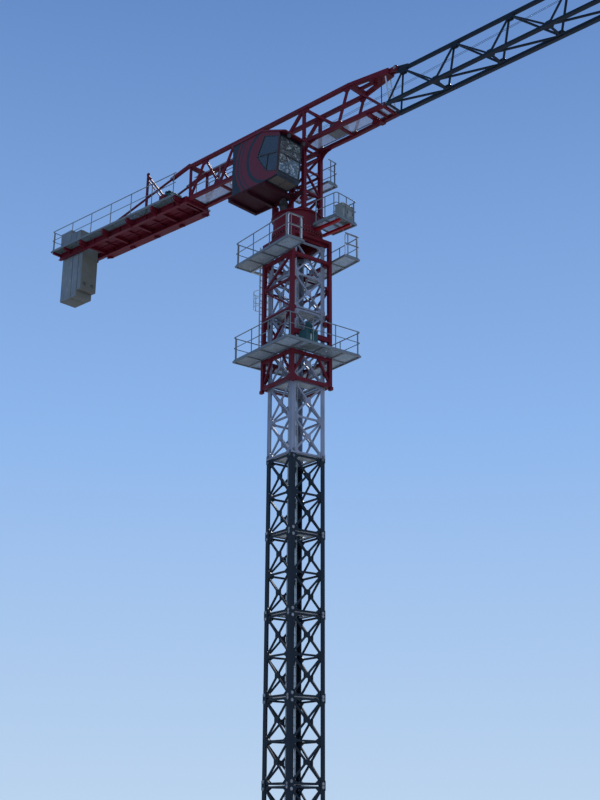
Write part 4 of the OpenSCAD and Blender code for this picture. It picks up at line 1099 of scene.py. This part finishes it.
class CRANE_OT_cab_fittings(bpy.types.Operator):
    """Adds the cab's window bars, gaskets, wiper, lamp, grab rails and grille"""
    bl_idname = "crane.cab_fittings"
    bl_label = "Cab fittings"

    def execute(self, context):
        window = [(0.31, 26.64), (0.90, 26.42), (1.03, 27.96), (0.22, 28.27), (-0.21, 27.45)]
        seals, bars = [], []
        for y, side in ((CAB_NEAR, -1), (CAB_FAR, 1)):
            seals.append(tube([(x, y + side * 0.004, z) for x, z in window], 0.016, 0.05, closed=True))
            bars.append(bar((-0.20, y + side * 0.002, 27.47), (0.97, y + side * 0.002, 27.26), 0.03, 0.05))
            bars.append(bar((0.31, y + side * 0.002, 26.64), (0.42, y + side * 0.002, 27.36), 0.03, 0.035))
        (x0, z0), (x1, z1) = (0.955, 26.46), (1.085, 27.95)
        seals.append(tube([(x0, CAB_NEAR + 0.06, z0), (x0, CAB_FAR - 0.06, z0), (x1, CAB_FAR - 0.06, z1),
                           (x1, CAB_NEAR + 0.06, z1)], 0.018, 0.06, closed=True))
        bars.append(bar((1.03, CAB_NEAR + 0.05, 27.25), (1.03, CAB_FAR - 0.05, 27.25), 0.04, 0.04))
        low, high = Vector((0.35, 0, 26.196)), Vector((0.88, 0, 26.242))
        for y in (CAB_NEAR + 0.08, CAB_MID, CAB_FAR - 0.08):
            bars.append(bar(low + Vector((0, y, 0)), high + Vector((0, y, 0)), 0.03, 0.03, 0.004))
        for end in (low, high):
            bars.append(bar(end + Vector((0, CAB_NEAR + 0.07, 0)), end + Vector((0, CAB_FAR - 0.07, 0)),
                            0.03, 0.03, 0.004))
        piece("cab_window_bars", seals + bars, "upper", "cab_paint", finish="rubber")
        panel = [bar(low + Vector((0, CAB_MID, 0)), high + Vector((0, CAB_MID, 0)),
                     CAB_FAR - CAB_NEAR - 0.16, 0.012)]
        piece("cab_foot_panel", panel, "upper", "dark_paint", finish="foot_panel")
        inside = [bar((1.035, CAB_NEAR + 0.1, 27.86), (1.035, CAB_FAR - 0.1, 27.86), 0.012, 0.22, 0.003),
                  rod((1.02, CAB_NEAR + 0.09, 27.96), (1.02, CAB_FAR - 0.09, 27.96), 0.03, 12),
                  block((0.62, CAB_MID - 0.36, 26.32), (0.80, CAB_MID + 0.36, 26.56), 0.02),
                  block((0.60, CAB_NEAR + 0.12, 27.2), (0.64, CAB_NEAR + 0.30, 27.44), 0.01),
                  rod((0.62, CAB_NEAR + 0.2, 26.4), (0.62, CAB_NEAR + 0.2, 27.22), 0.014, 10)]
        for side in (-1, 1):
            inside.append(block((0.74, CAB_MID + side * 0.14 - 0.05, 26.33),
                                (0.86, CAB_MID + side * 0.14 + 0.05, 26.36), 0.006))
        piece("cab_interior", inside, "upper", "dark_paint")

        wiper = [tube([(1.0, CAB_MID, 26.52), (1.045, CAB_MID - 0.1, 26.8), (1.075, CAB_MID - 0.22, 27.14)],
                      0.009),
                 bar((1.058, CAB_MID - 0.22, 26.86), (1.088, CAB_MID - 0.24, 27.2), 0.014, 0.02),
                 rod((0.97, CAB_MID, 26.52), (1.02, CAB_MID, 26.52), 0.022, 12)]
        rails = []
        for x in (-1.42, -0.62):
            rails.append(tube([(x, CAB_FAR, 26.9), (x, CAB_FAR + 0.06, 26.9), (x, CAB_FAR + 0.06, 27.9),
                               (x, CAB_FAR, 27.9)],
                              0.014, 0.05))
        rails.append(tube([(1.30, CAB_NEAR + 0.1, 28.06), (1.30, CAB_NEAR + 0.1, 28.16),
                           (1.30, CAB_FAR - 0.1, 28.16),
                           (1.30, CAB_FAR - 0.1, 28.06)], 0.014, 0.05))
        slats = block((0.905, CAB_NEAR + 0.25, 26.28), (0.925, CAB_FAR - 0.25, 26.29))
        rails.append(row(slats, 5, (0.004, 0, 0.026)))
        piece("cab_wiper_and_rails", wiper + rails, "upper", "dark_paint")

        lamps = []
        for y in (CAB_NEAR + 0.22, CAB_FAR - 0.22):
            lamps.append(stepped_rod((1.33, y, 27.93), (0.9, 0, -0.45),
                                     [(0.02, 0.045), (0.06, 0.075), (0.012, 0.082)], 20))
            lamps.append(block((1.32, y - 0.02, 27.95), (1.36, y + 0.02, 28.02)))
        piece("cab_lamps", lamps, "upper", "dark_paint")
        return {"FINISHED"}


class CRANE_OT_driver_seat(bpy.types.Operator):
    """Replaces the plain seat by cushions, a sprung base and control boxes"""
    bl_idname = "crane.driver_seat"
    bl_label = "Driver's seat"

    def execute(self, context):
        floor_z = 26.31

        def cushion(low, high):
            """A pad with round edges, whose sides pull in between its corners."""
            low, high = Vector(low), Vector(high)
            middle, half = (low + high) / 2, (high - low) / 2
            pad = cuboid(middle, high - low)
            with EditMode():
                bpy.ops.mesh.subdivide(number_cuts=3)
                bpy.ops.mesh.bevel(offset=0.012, segments=1, affect="EDGES")
            round_off = pad.modifiers.new("Round", "SUBSURF")
            round_off.levels = round_off.render_levels = 2
            bpy.ops.object.modifier_apply(modifier="Round")
            for v in pad.data.vertices:
                reach = v.co - middle
                shares = sorted(abs(reach[k]) / half[k] for k in range(3))
                v.co = middle + reach * (1 - 0.10 * shares[2] ** 2 * min(1.0, shares[1]))
            return pad

        pads = [cushion((-0.52, CAB_MID - 0.26, floor_z + 0.35), (0.04, CAB_MID + 0.26, floor_z + 0.48)),
                cushion((-0.56, CAB_MID - 0.25, floor_z + 0.485), (-0.44, CAB_MID + 0.25, floor_z + 0.95)),
                cushion((-0.55, CAB_MID - 0.14, floor_z + 0.97), (-0.45, CAB_MID + 0.14, floor_z + 1.15))]
        seat = piece("seat_cushions", pads, "upper", "seat_vinyl", smooth=60)
        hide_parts("cab_seat")

        base = [stepped_rod((-0.25, CAB_MID, floor_z), UP, [(0.02, 0.17), (0.05, 0.11)] +
                            [(0.02, r) for r in (0.10, 0.115) * 6] + [(0.035, 0.13)], 28),
                block((-0.5, CAB_MID - 0.2, floor_z + 0.33), (0.0, CAB_MID + 0.2, floor_z + 0.352), 0.004),
                tube([(-0.5, CAB_MID - 0.1, floor_z + 0.97), (-0.5, CAB_MID - 0.1, floor_z + 0.9)], 0.008),
                tube([(-0.5, CAB_MID + 0.1, floor_z + 0.97), (-0.5, CAB_MID + 0.1, floor_z + 0.9)], 0.008)]
        for side in (-1, 1):
            y = CAB_MID + side * 0.34
            base.append(block((-0.42, y - 0.08, floor_z), (0.12, y + 0.08, floor_z + 0.60), 0.02))
            base.append(stepped_rod((0.0, y, floor_z + 0.60), UP,
                                    [(0.02, 0.05), (0.03, 0.035), (0.02, 0.018), (0.07, 0.014),
                                     (0.05, 0.024), (0.02, 0.018)], 16))
            for k in range(3):
                base.append(rod((-0.28 + k * 0.07, y, floor_z + 0.6),
                                (-0.28 + k * 0.07, y, floor_z + 0.615), 0.014, 12))
        seat_base = piece("seat_base", base, "upper", "dark_paint")
        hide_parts("cab_seat")
        return {"FINISHED"}


class CRANE_OT_truss_fittings(bpy.types.Operator):
    """Adds the gussets, stiffeners and pins of the slewing tower and the root truss"""
    bl_idname = "crane.truss_fittings"
    bl_label = "Tower and root truss fittings"

    def execute(self, context):
        parts = []
        for x, long in ((-4.30, 0.46), (-2.50, 0.46), (-0.75, 0.5), (0.83, 0.5), (2.72, 0.46)):
            parts.append(gusset(x, TRUSS_HALF, CHORD_Z + 0.07, long, 0.16, 0.1))
        for x, long in ((-5.27, 0.46), (-3.40, 0.46), (-1.60, 0.46), (0.83, 0.6), (3.20, 0.4)):
            parts.append(gusset(x, TRUSS_HALF, TRUSS_TOP - 0.07, long, 0.16, 0.1, -1))
        for x in (-5.9, -4.6, -2.0, 1.9):
            parts.append(block((x, TRUSS_HALF - 0.086, TRUSS_TOP - 0.086),
                               (x + 0.016, TRUSS_HALF + 0.086, TRUSS_TOP + 0.086)))
        ear = ((0, -0.13), (0.2, -0.04), (0.2, 0.04), (0, 0.13))
        for x in (TOWER_X, -TOWER_X):
            for z in (25.93, 26.25, 27.25):
                for inward in ((0, -1, 0), (-math.copysign(1, x), 0, 0)):
                    parts.append(plate(ear, (x, TRUSS_HALF, z), inward, UP, 0.092))
            parts.append(block((x - 0.13, TRUSS_HALF - 0.13, DRUM_TOP),
                               (x + 0.13, TRUSS_HALF + 0.13, DRUM_TOP + 0.024), 0.004))
            for dx in (-0.1, 0.1):
                for dy in (-0.1, 0.1):
                    parts += hex_bolt((x + dx, TRUSS_HALF + dy, DRUM_TOP + 0.024), UP, 0.014)
        piece("truss_gussets", both_sides(parts), "upper", "red_paint")

        pins = [rod((APEX.x, a, APEX.z), (APEX.x, b, APEX.z), radius, 20)
                for a, b, radius in ((-0.175, 0.175, 0.04), (-0.15, -0.138, 0.07), (0.15, 0.138, 0.07))]
        piece("apex_pin", pins, "upper", "dark_paint", finish="steel")
        return {"FINISHED"}


class CRANE_OT_jib_fittings(bpy.types.Operator):
    """Adds the jib's joint lugs and pins and the plates at its nodes"""
    bl_idname = "crane.jib_fittings"
    bl_label = "Jib fittings"

    def execute(self, context):
        rise = Vector((0, -JIB_HALF, JIB_TOP - CHORD_Z)).normalized()
        parts = []
        foot = plate([(-0.24, 0.03), (0.24, 0.03), (0.1, 0.2), (-0.1, 0.2)], (0, JIB_HALF, CHORD_Z), ALONG,
                     rise, 0.074)
        flat = plate([(-0.24, 0.03), (0.24, 0.03), (0.1, 0.19), (-0.1, 0.19)], (0, JIB_HALF, CHORD_Z), ALONG,
                     (0, -1, 0), 0.072)
        nodes = [JIB_START + k * BAY for k in range(1, 7)]
        parts += copies([foot, flat], moved(ALONG, nodes))
        head = plate([(-0.26, 0.02), (0.26, 0.02), (0.1, 0.22), (-0.1, 0.22)], (0, 0, JIB_TOP), ALONG,
                     -rise, 0.074)
        parts += copies([head], moved(ALONG, [x + JIB_LEAD for x in (JIB_START, *nodes[:-1])]))
        lugs = []
        for bays in (0, 4, 6):         # where two jib sections meet, and the jib's two ends
            x = JIB_START + bays * BAY + 0.09
            for y in (JIB_HALF - 0.072, JIB_HALF + 0.052):
                lugs.append(block((x - 0.16, y, CHORD_Z - 0.055), (x + 0.16, y + 0.02, CHORD_Z + 0.055),
                                  0.008))
            if bays:
                lugs.append(block((x - 0.16, 0.066, JIB_TOP - 0.055), (x + 0.16, 0.082, JIB_TOP + 0.055),
                                  0.006))
            for dx in (-0.09, 0.09):
                lugs += painted([pin((x + dx, JIB_HALF + 0.083, CHORD_Z), (0, -1, 0), 0.155, 0.026)], "steel")
                if bays:
                    lugs += painted([rod((x + dx, 0, JIB_TOP), (x + dx, 0.1, JIB_TOP), 0.026, 14)], "steel")
        piece("jib_plates", both_sides(parts + lugs), "upper", "dark_blue_paint")
        return {"FINISHED"}


class CRANE_OT_jib_walkway(bpy.types.Operator):
    """Replaces the walkway in the jib's root by a grating with its ladder"""
    bl_idname = "crane.jib_walkway"
    bl_label = "Jib walkway"

    def execute(self, context):
        x0, x1, tie = TOWER_X - 0.03, JIB_START + 0.133, 4.6     # the tie crosses the walkway
        parts = grating((x0, -0.34), (tie - 0.04, 0.34), WALK_TOP, 0.035)
        parts += grating((tie + 0.04, -0.34), (x1, 0.34), WALK_TOP, 0.035)
        for side in (-1, 1):
            low, high = sorted((side * 0.04, side * 0.34))
            parts.append(block((tie - 0.04, low, WALK_TOP - 0.035), (tie + 0.04, high, WALK_TOP), 0.002))
        foot, head = Vector((JIB_START + 0.093, 0, WALK_TOP - 0.005)), Vector((JIB_START - 0.107, 0,
                                                                               TRUSS_TOP - 0.125))
        ladder = []
        for side in (-1, 1):
            shift = Vector((0, side * 0.165, 0))
            ladder.append(bar(foot + shift, head + shift, 0.03, 0.05, 0.004))
        for k in range(1, 5):
            spot = foot + (head - foot) * k * 0.2
            ladder.append(rod(spot - Vector((0, 0.165, 0)), spot + Vector((0, 0.165, 0)), 0.013, 12))
        # the walkway's bars and its ladder take the pale zinc: painted light for the sky seen through the
        # grating from below
        whole = piece("jib_walkway_grating", parts + ladder, "upper", "galvanised_steel", finish="gate_zinc")
        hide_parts("jib_walkway")

        start, end, half = TRUSS_BACK + 0.1, -1.15, TRUSS_HALF - 0.085
        floor_parts = grating((start, -half), (end, half), WALK_TOP, 0.035)
        for side in (-1, 1):
            y = side * (half - 0.03)
            floor_parts += railing([(start + 0.1, y, WALK_TOP), (end - 0.05, y, WALK_TOP)], 1.0, 1.6,
                                   toe=False)
        # the walkway's bars take the pale zinc: painted light for the sky seen through the grating from below
        piece("rear_truss_walkway", floor_parts, "upper", "galvanised_steel", finish="gate_zinc")
        beam = [bar((TRUSS_BACK + 0.02, -TRUSS_HALF, TRUSS_TOP), (TRUSS_BACK + 0.02, TRUSS_HALF, TRUSS_TOP),
                    0.17, 0.18, 0.006)]
        piece("rear_cross_beam", beam, "upper", "red_paint")

        x, z = 2.2, WALK_TOP + 0.25
        clear_selection()
        bpy.ops.mesh.primitive_torus_add(location=(x, -0.184, z), rotation=(math.pi / 2, 0, 0),
                                         major_radius=0.153, minor_radius=0.006,
                                         major_segments=30, minor_segments=6)
        turns = row(settle(), 30, (0, 0.0125, 0))
        piece("trolley_winch_rope", [turns], "upper", "wire_rope")
        parts = []
        for y in (-0.2245, 0.2195):
            parts.append(ring(rod((x + 0.165, y - 0.004, z), (x + 0.165, y + 0.006, z), 0.012, 8), 8,
                              (x, y, z), ACROSS))
        mx, mz = x + 0.36, WALK_TOP + 0.23
        parts.append(ring(block((mx - 0.004, -0.16, mz + 0.127), (mx + 0.004, 0.16, mz + 0.146)), 20,
                          (mx, 0, mz), ACROSS))
        parts.append(stepped_rod((mx, -0.22, mz), (0, -1, 0), [(0.015, 0.13), (0.04, 0.12), (0.01, 0.1)], 24))
        parts.append(block((mx - 0.06, -0.07, mz + 0.14), (mx + 0.06, 0.07, mz + 0.2), 0.008))
        piece("trolley_winch_parts", parts, "upper", "dark_paint")
        return {"FINISHED"}


class CRANE_OT_trolley_fittings(bpy.types.Operator):
    """Adds the trolley's axle caps, guide rollers and rope clamps, and the hook block's fittings"""
    bl_idname = "crane.trolley_fittings"
    bl_label = "Trolley fittings"

    def execute(self, context):
        x, low, axle_z = HOOK.x, TROLLEY_LOW, TROLLEY_LOW + 0.5746
        parts = []
        for side in (-1, 1):
            wheel_x = x + side * 0.6
            parts += [stepped_rod((wheel_x, 0.58, axle_z), ACROSS, [(0.012, 0.05), (0.016, 0.034)], 20),
                      stepped_rod((wheel_x, 0.53, axle_z), ACROSS, [(0.008, 0.068)], 28)]
            for dz in (0.02, 0.1, 0.36, 0.52):
                for dx in (-0.035, 0.035):
                    parts += hex_bolt((wheel_x + dx, 0.58, low + dz), ACROSS, 0.012, 0.01)
            parts.append(plate([(0, 0), (-side * 0.22, 0), (0, 0.26)], (x + side * 0.54, 0.565, low + 0.08),
                               ALONG, UP, 0.02))
            parts.append(block((x + side * 0.7 - 0.02, 0.5, low - 0.03),
                               (x + side * 0.7 + 0.05, 0.64, low + 0.1), 0.006))
        for side in (-1, 1):
            parts.append(stepped_rod((x + side * 0.3, 0.08, low), ACROSS, [(0.012, 0.05), (0.01, 0.03)], 20))
            for share in (0.22, 0.76):     # the rope guards, as shares of the wheel's half turn
                angle = math.pi * (0.5 - side * share)
                v = Vector((x + side * 0.3 + 0.145 * math.cos(angle), 0, low + 0.145 * math.sin(angle)))
                parts.append(rod(v - Vector((0, 0.07, 0)), v + Vector((0, 0.07, 0)), 0.008, 8))
        parts = both_sides(parts)
        for side in (-1, 1):
            parts.append(block((x + side * 0.65 - 0.03, -0.16, low + 0.06),
                               (x + side * 0.65 + 0.03, 0.16, low + 0.14), 0.005))
            parts.append(stepped_rod((x + side * 0.65, 0, low + 0.1), (side, 0, 0),
                                     [(0.05, 0.04), (0.05, 0.024), (0.02, 0.035)], 16))
        piece("trolley_fittings", parts, "upper", "red_paint")

        z, hook = HOOK.z, []
        for y, along in ((-0.075, -1), (0.075, 1)):
            hook += [stepped_rod((x, y, z), (0, along, 0), [(0.01, 0.07), (0.02, 0.045), (0.01, 0.03)], 24),
                     plate([(-0.17, -0.3), (0.17, -0.3), (0.17, -0.22), (-0.17, -0.22)],
                           (x, y + along * 0.006, z), ALONG, UP, 0.012)]
            for dx, dz in ((-0.13, 0.13), (0.13, 0.13), (-0.13, -0.26), (0.13, -0.26), (-0.13, -0.1),
                           (0.13, -0.1)):
                hook += hex_bolt((x + dx, y + (along * 0.012 if dz == -0.26 else 0), z + dz), (0, along, 0),
                                 0.014, 0.012)
        for dx in (-0.15, 0.15):
            hook.append(rod((x + dx, -0.04, z + 0.15), (x + dx, 0.04, z + 0.15), 0.012, 10))
        piece("hook_block_fittings", hook, "upper", "red_paint")
        centre = Vector((x, 0, z - 0.55))
        iron = [stepped_rod((x, 0, z - 0.36), (0, 0, -1), [(0.035, 0.062), (0.01, 0.05)], 6),
                stepped_rod(centre + Vector((0.1034, 0, 0.0376)), (-0.34, 0, 0.94),
                            [(0.03, 0.03), (0.015, 0.022)], 16),
                bar(centre + Vector((-0.02, 0, 0.105)), centre + Vector((0.1, 0, -0.03)), 0.05, 0.008, 0.002),
                rod((x - 0.02, -0.036, z - 0.446), (x - 0.02, 0.036, z - 0.446), 0.009, 10)]
        piece("hook_latch", iron, "upper", "dark_paint", finish="steel")
        return {"FINISHED"}


class CRANE_OT_counter_jib(bpy.types.Operator):
    """Replaces the counter-jib's walkways and railings and adds its stiffeners and brackets"""
    bl_idname = "crane.counter_jib"
    bl_label = "Counter-jib"

    def execute(self, context):
        top = DECK_Z + 0.06
        parts = grating((-14.15, BEAM_Y + 0.085), (TRUSS_BACK - 0.3, WALK_HALF), top, 0.06)
        parts.append(block((-14.15, BEAM_Y + 0.02, DECK_Z),
                           (TRUSS_BACK - 0.3, BEAM_Y + 0.085, DECK_Z + 0.008)))
        parts += grating((-16.05, BEAM_Y + 0.09), (-14.15, WALK_HALF), top, 0.06)
        parts = both_sides(parts)
        parts.append(block((-16.05, -WALK_HALF, DECK_Z), (-15.95, WALK_HALF, top), 0.004))
        whole = piece("counter_jib_gratings", parts, "upper", "galvanised_steel", COUNTER_SEAT,
                      "walkway_zinc")
        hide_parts("counter_jib_walkways")
        start, end, y = TRUSS_BACK - 0.32, -COUNTER_END - 0.095, WALK_HALF - 0.025
        rail = railing([(start, -y, top), (end, -y, top), (end, y, top), (start, y, top)], 1.1, 1.45)
        whole = piece("counter_jib_railing", rail, "upper", "galvanised_steel", COUNTER_SEAT)
        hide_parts("counter_jib_railings")

        ribs = []
        web_low, web_high = DECK_Z - 0.27, DECK_Z - 0.03
        for side in (0.0165, -0.0765):
            rib = block((-15.0, BEAM_Y + side, web_low), (-14.988, BEAM_Y + side + 0.06, web_high))
            ribs.append(row(rib, 9, (0.98, 0, 0)))
        for x in (-6.7, -8.3, -10.1, -11.9, -13.7):
            ribs.append(plate([(0, 0), (0.38, 0), (0.38, -0.05), (0, -0.22)],
                              (x, BEAM_Y + 0.08, DECK_Z - 0.2),
                              ACROSS, UP, 0.014))
        ribs = both_sides(ribs)
        soffit = DECK_Z - 0.2005
        ribs.append(block((-13.8, BEAM_Y + 0.09, soffit - 0.008),
                          (TRUSS_BACK - 0.32, WALK_HALF - 0.025, soffit)))
        # painted highlight: a pale zinc strip along the walkway's outer edge, standing in for light on its
        # rim
        ribs += painted([block((-13.8, WALK_HALF - 0.025, soffit - 0.012),
                               (TRUSS_BACK - 0.32, WALK_HALF - 0.015, soffit + 0.05))],
                        "gate_zinc")
        for x in (-7.5, -9.2, -11.0, -12.8):
            ribs.append(block((x - 0.02, -BEAM_Y + 0.02, DECK_Z - 0.1),
                              (x + 0.02, BEAM_Y - 0.02, DECK_Z - 0.03)))
        for y in (-0.2, 0.2):
            ribs.append(block((-13.7, y - 0.02, DECK_Z - 0.07), (TRUSS_BACK - 0.1, y + 0.02, DECK_Z - 0.03)))
        piece("beam_ribs", ribs, "upper", "red_paint", COUNTER_SEAT)

        back, front = -13.6, -9.3
        tray = [block((back, BEAM_Y + a, DECK_Z), (front, BEAM_Y + b, DECK_Z + high))
                for a, b, high in ((-0.2, -0.196, 0.06), (-0.1, -0.096, 0.06), (-0.196, -0.1, 0.004))]
        for y, radius in ((-0.175, 0.014), (-0.145, 0.018), (-0.115, 0.012)):
            z = DECK_Z + 0.004 + radius
            tray += painted([rod((back, BEAM_Y + y, z), (front, BEAM_Y + y, z), radius, 10)], "rubber")
        piece("cable_tray", tray, "upper", "galvanised_steel", COUNTER_SEAT)

        def bar_z(reach):
            """The height of the tie bars' middle, at a distance behind the truss."""
            return TRUSS_TOP + 0.078 - 0.191 * reach

        pins = []
        for reach, wide in ((1.15, 0.09), (6.7, 0.075)):
            x, z = TRUSS_BACK - reach, bar_z(reach)
            pins.append(rod((x, TRUSS_HALF - wide, z), (x, TRUSS_HALF + wide, z), 0.032, 16))
            for y in (TRUSS_HALF - wide + 0.012, TRUSS_HALF + wide - 0.022):
                pins.append(rod((x, y, z), (x, y + 0.01, z), 0.056, 16))
        steel = painted(pins, "steel")
        cheeks = []
        for y in (TRUSS_HALF - 0.072, TRUSS_HALF + 0.06):
            cheeks.append(bar((TRUSS_BACK - 0.95, y + 0.006, bar_z(0.95)),
                              (TRUSS_BACK - 1.3, y + 0.006, bar_z(1.3)), 0.012, 0.15, 0.004))
        piece("tie_bar_pins", both_sides(steel + cheeks), "upper", "red_paint")

        x, y, top = -9.2, -0.635, DECK_Z + 2.11
        davit = [stepped_rod((x, y - 0.055, top + 0.03), ACROSS,
                             [(0.015, 0.045), (0.08, 0.028), (0.015, 0.045)], 16),
                 stepped_rod((x, y - 0.03, top + 0.03), ACROSS,
                             [(0.012, 0.085), (0.036, 0.068), (0.012, 0.085)], 24),
                 block((x - 0.1, y - 0.075, DECK_Z), (x + 0.1, y + 0.02, DECK_Z + 0.016), 0.003),
                 plate([(0, 0), (0.22, -0.23), (0.22, -0.33), (0, -0.2)], (x + 0.03, y, top), ALONG, UP,
                       0.06)]
        for side in (-1, 1):
            davit.append(plate([(side * 0.045, 0), (side * 0.15, 0), (side * 0.045, 0.2)],
                               (x, y, DECK_Z + 0.016), ALONG, UP, 0.012))
            davit += hex_bolt((x + side * 0.08, y - 0.05, DECK_Z + 0.016), UP, 0.012)
        piece("davit_fittings", davit, "upper", "red_paint", COUNTER_SEAT)
        return {"FINISHED"}


class CRANE_OT_hoist_winch(bpy.types.Operator):
    """Adds the winch's rope turns, drum flanges, motor fins, brake and frame parts"""
    bl_idname = "crane.hoist_winch"
    bl_label = "Hoist winch"

    def execute(self, context):
        pitch = context.scene.crane_sizes.rope_pitch
        axle_z, drum_x = DECK_Z + 0.48, -8.0
        clear_selection()
        bpy.ops.mesh.primitive_torus_add(location=(drum_x, -0.326, axle_z), rotation=(math.pi / 2, 0, 0),
                                         major_radius=0.284, minor_radius=0.008,
                                         major_segments=36, minor_segments=6)
        turns = row(settle(), int(0.652 / pitch), (0, pitch, 0))
        piece("winch_rope", [turns], "upper", "wire_rope", COUNTER_SEAT)

        parts = []
        for y in (-0.43, 0.38):
            for k in range(8):
                angle = k * math.pi / 4
                x, z = drum_x + 0.32 * math.cos(angle), axle_z + 0.32 * math.sin(angle)
                parts.append(rod((x, y - 0.004, z), (x, y + 0.054, z), 0.014, 8))
        motor_x, motor_z = -8.75, DECK_Z + 0.34
        parts.append(ring(block((motor_x - 0.007, -0.2, motor_z + 0.166),
                                (motor_x + 0.007, 0.18, motor_z + 0.195)),
                          22, (motor_x, 0, motor_z), ACROSS))
        parts.append(stepped_rod((motor_x, -0.28, motor_z), (0, -1, 0),
                                 [(0.02, 0.17), (0.06, 0.155), (0.01, 0.14)], 28))
        parts.append(block((motor_x - 0.09, -0.1, motor_z + 0.19), (motor_x + 0.09, 0.1, motor_z + 0.27),
                           0.01))
        piece("winch_motor_parts", parts, "upper", "dark_paint", COUNTER_SEAT)

        green = [block((drum_x - 0.34, y, DECK_Z + 0.6), (drum_x + 0.34, y + 0.06, DECK_Z + 0.72),
                       0.006) for y in (-0.5, 0.44)]
        green += [stepped_rod((drum_x, 0.5, axle_z), ACROSS, [(0.05, 0.24), (0.1, 0.2), (0.03, 0.12)], 28),
                  block((drum_x - 0.16, -0.42, DECK_Z + 0.88), (drum_x + 0.16, 0.36, DECK_Z + 0.94), 0.01),
                  block((drum_x - 0.55, -0.4, DECK_Z + 0.06), (drum_x - 0.45, 0.4, DECK_Z + 0.5), 0.01),
                  block((motor_x - 0.26, 0.26, DECK_Z + 0.16), (motor_x + 0.3, 0.46, DECK_Z + 0.74), 0.02)]
        for y in (-0.49, 0.45):
            green.append(block((drum_x - 0.05, y, DECK_Z + 0.72), (drum_x + 0.05, y + 0.04, DECK_Z + 0.9),
                               0.004))
        piece("winch_frame_parts", green, "upper", "teal_paint", COUNTER_SEAT)
        return {"FINISHED"}


class CRANE_OT_ballast(bpy.types.Operator):
    """Replaces the hung slabs by cast ones with chamfered edges, lifting loops and pockets"""
    bl_idname = "crane.ballast"
    bl_label = "Ballast"

    def execute(self, context):
        parts, loops = [], []
        stem, head, foot = 0.47, 0.67, 26.17
        for x0, x1, lift, top in ((-15.84, -15.01, 0, 29.85), (-14.98, -14.54, 0, 29.6),
                                  (-14.51, -14.21, 0.3, 29.6)):
            middle = (x0 + x1) / 2
            neck = DECK_Z + (TRUSS_BACK - x0) * math.tan(COUNTER_RISE) + 0.0005
            outline = [(-stem, foot + lift), (stem, foot + lift), (stem, neck), (head, neck),
                       (head, top), (-head, top), (-head, neck), (-stem, neck)]
            slab = plate(outline, (middle, 0, 0), ACROSS, UP, x1 - x0)
            if lift:
                for y in (-0.32, 0.13):
                    cutter = block((x1 - 0.09, y, 26.70), (x1 + 0.05, y + 0.19, 26.86))
                    pick(slab)
                    cut = slab.modifiers.new("Pocket", "BOOLEAN")
                    cut.object = cutter
                    cut.solver = "EXACT"
                    bpy.ops.object.modifier_apply(modifier="Pocket")
                    bpy.data.objects.remove(cutter)
            soften(slab, 0.014, 2)
            parts.append(slab)
            for y in (-0.4, 0.4):
                path = [(middle + dx, y, top + dz)
                        for dx, dz in ((-0.07, -0.02), (-0.07, 0.09), (0.07, 0.09), (0.07, -0.02))]
                loops.append(tube(path, 0.012, 0.06))
        whole = piece("ballast_castings", parts, "upper", "concrete")
        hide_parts("ballast_slabs")
        piece("ballast_loops", loops, "upper", "wire_rope", finish="steel")
        return {"FINISHED"}


STEPS = (CRANE_OT_stage, CRANE_OT_finishes, CRANE_OT_mast_fittings, CRANE_OT_cage_decks,
         CRANE_OT_cage_fittings, CRANE_OT_ring_bolts, CRANE_OT_platforms, CRANE_OT_cab_fittings,
         CRANE_OT_driver_seat, CRANE_OT_truss_fittings, CRANE_OT_jib_fittings, CRANE_OT_jib_walkway,
         CRANE_OT_trolley_fittings, CRANE_OT_counter_jib, CRANE_OT_hoist_winch, CRANE_OT_ballast)


class CRANE_PT_panel(bpy.types.Panel):
    """Lists the steps and the sizes and colours they use"""
    bl_idname = "CRANE_PT_panel"
    bl_label = "Tower crane"
    bl_space_type = "VIEW_3D"
    bl_region_type = "UI"
    bl_category = "Crane"

    def draw(self, context):
        for group in (context.scene.crane_sizes, context.scene.crane_colours):
            for name in group.__annotations__:
                self.layout.prop(group, name)
        for step in STEPS:
            self.layout.operator(step.bl_idname)


CLASSES = (CraneSizes, CraneColours, *STEPS, CRANE_PT_panel)


def register():
    for cls in CLASSES:
        bpy.utils.register_class(cls)
    bpy.types.Scene.crane_sizes = bpy.props.PointerProperty(type=CraneSizes)
    bpy.types.Scene.crane_colours = bpy.props.PointerProperty(type=CraneColours)


def unregister():
    del bpy.types.Scene.crane_colours
    del bpy.types.Scene.crane_sizes
    for cls in reversed(CLASSES):
        bpy.utils.unregister_class(cls)


def main():
    register()
    for step in STEPS:
        group, name = step.bl_idname.split(".")
        if getattr(getattr(bpy.ops, group), name)() != {"FINISHED"}:
            raise RuntimeError(f"{step.bl_label} did not finish")
    clear_selection()


if __name__ == "__main__":
    main()
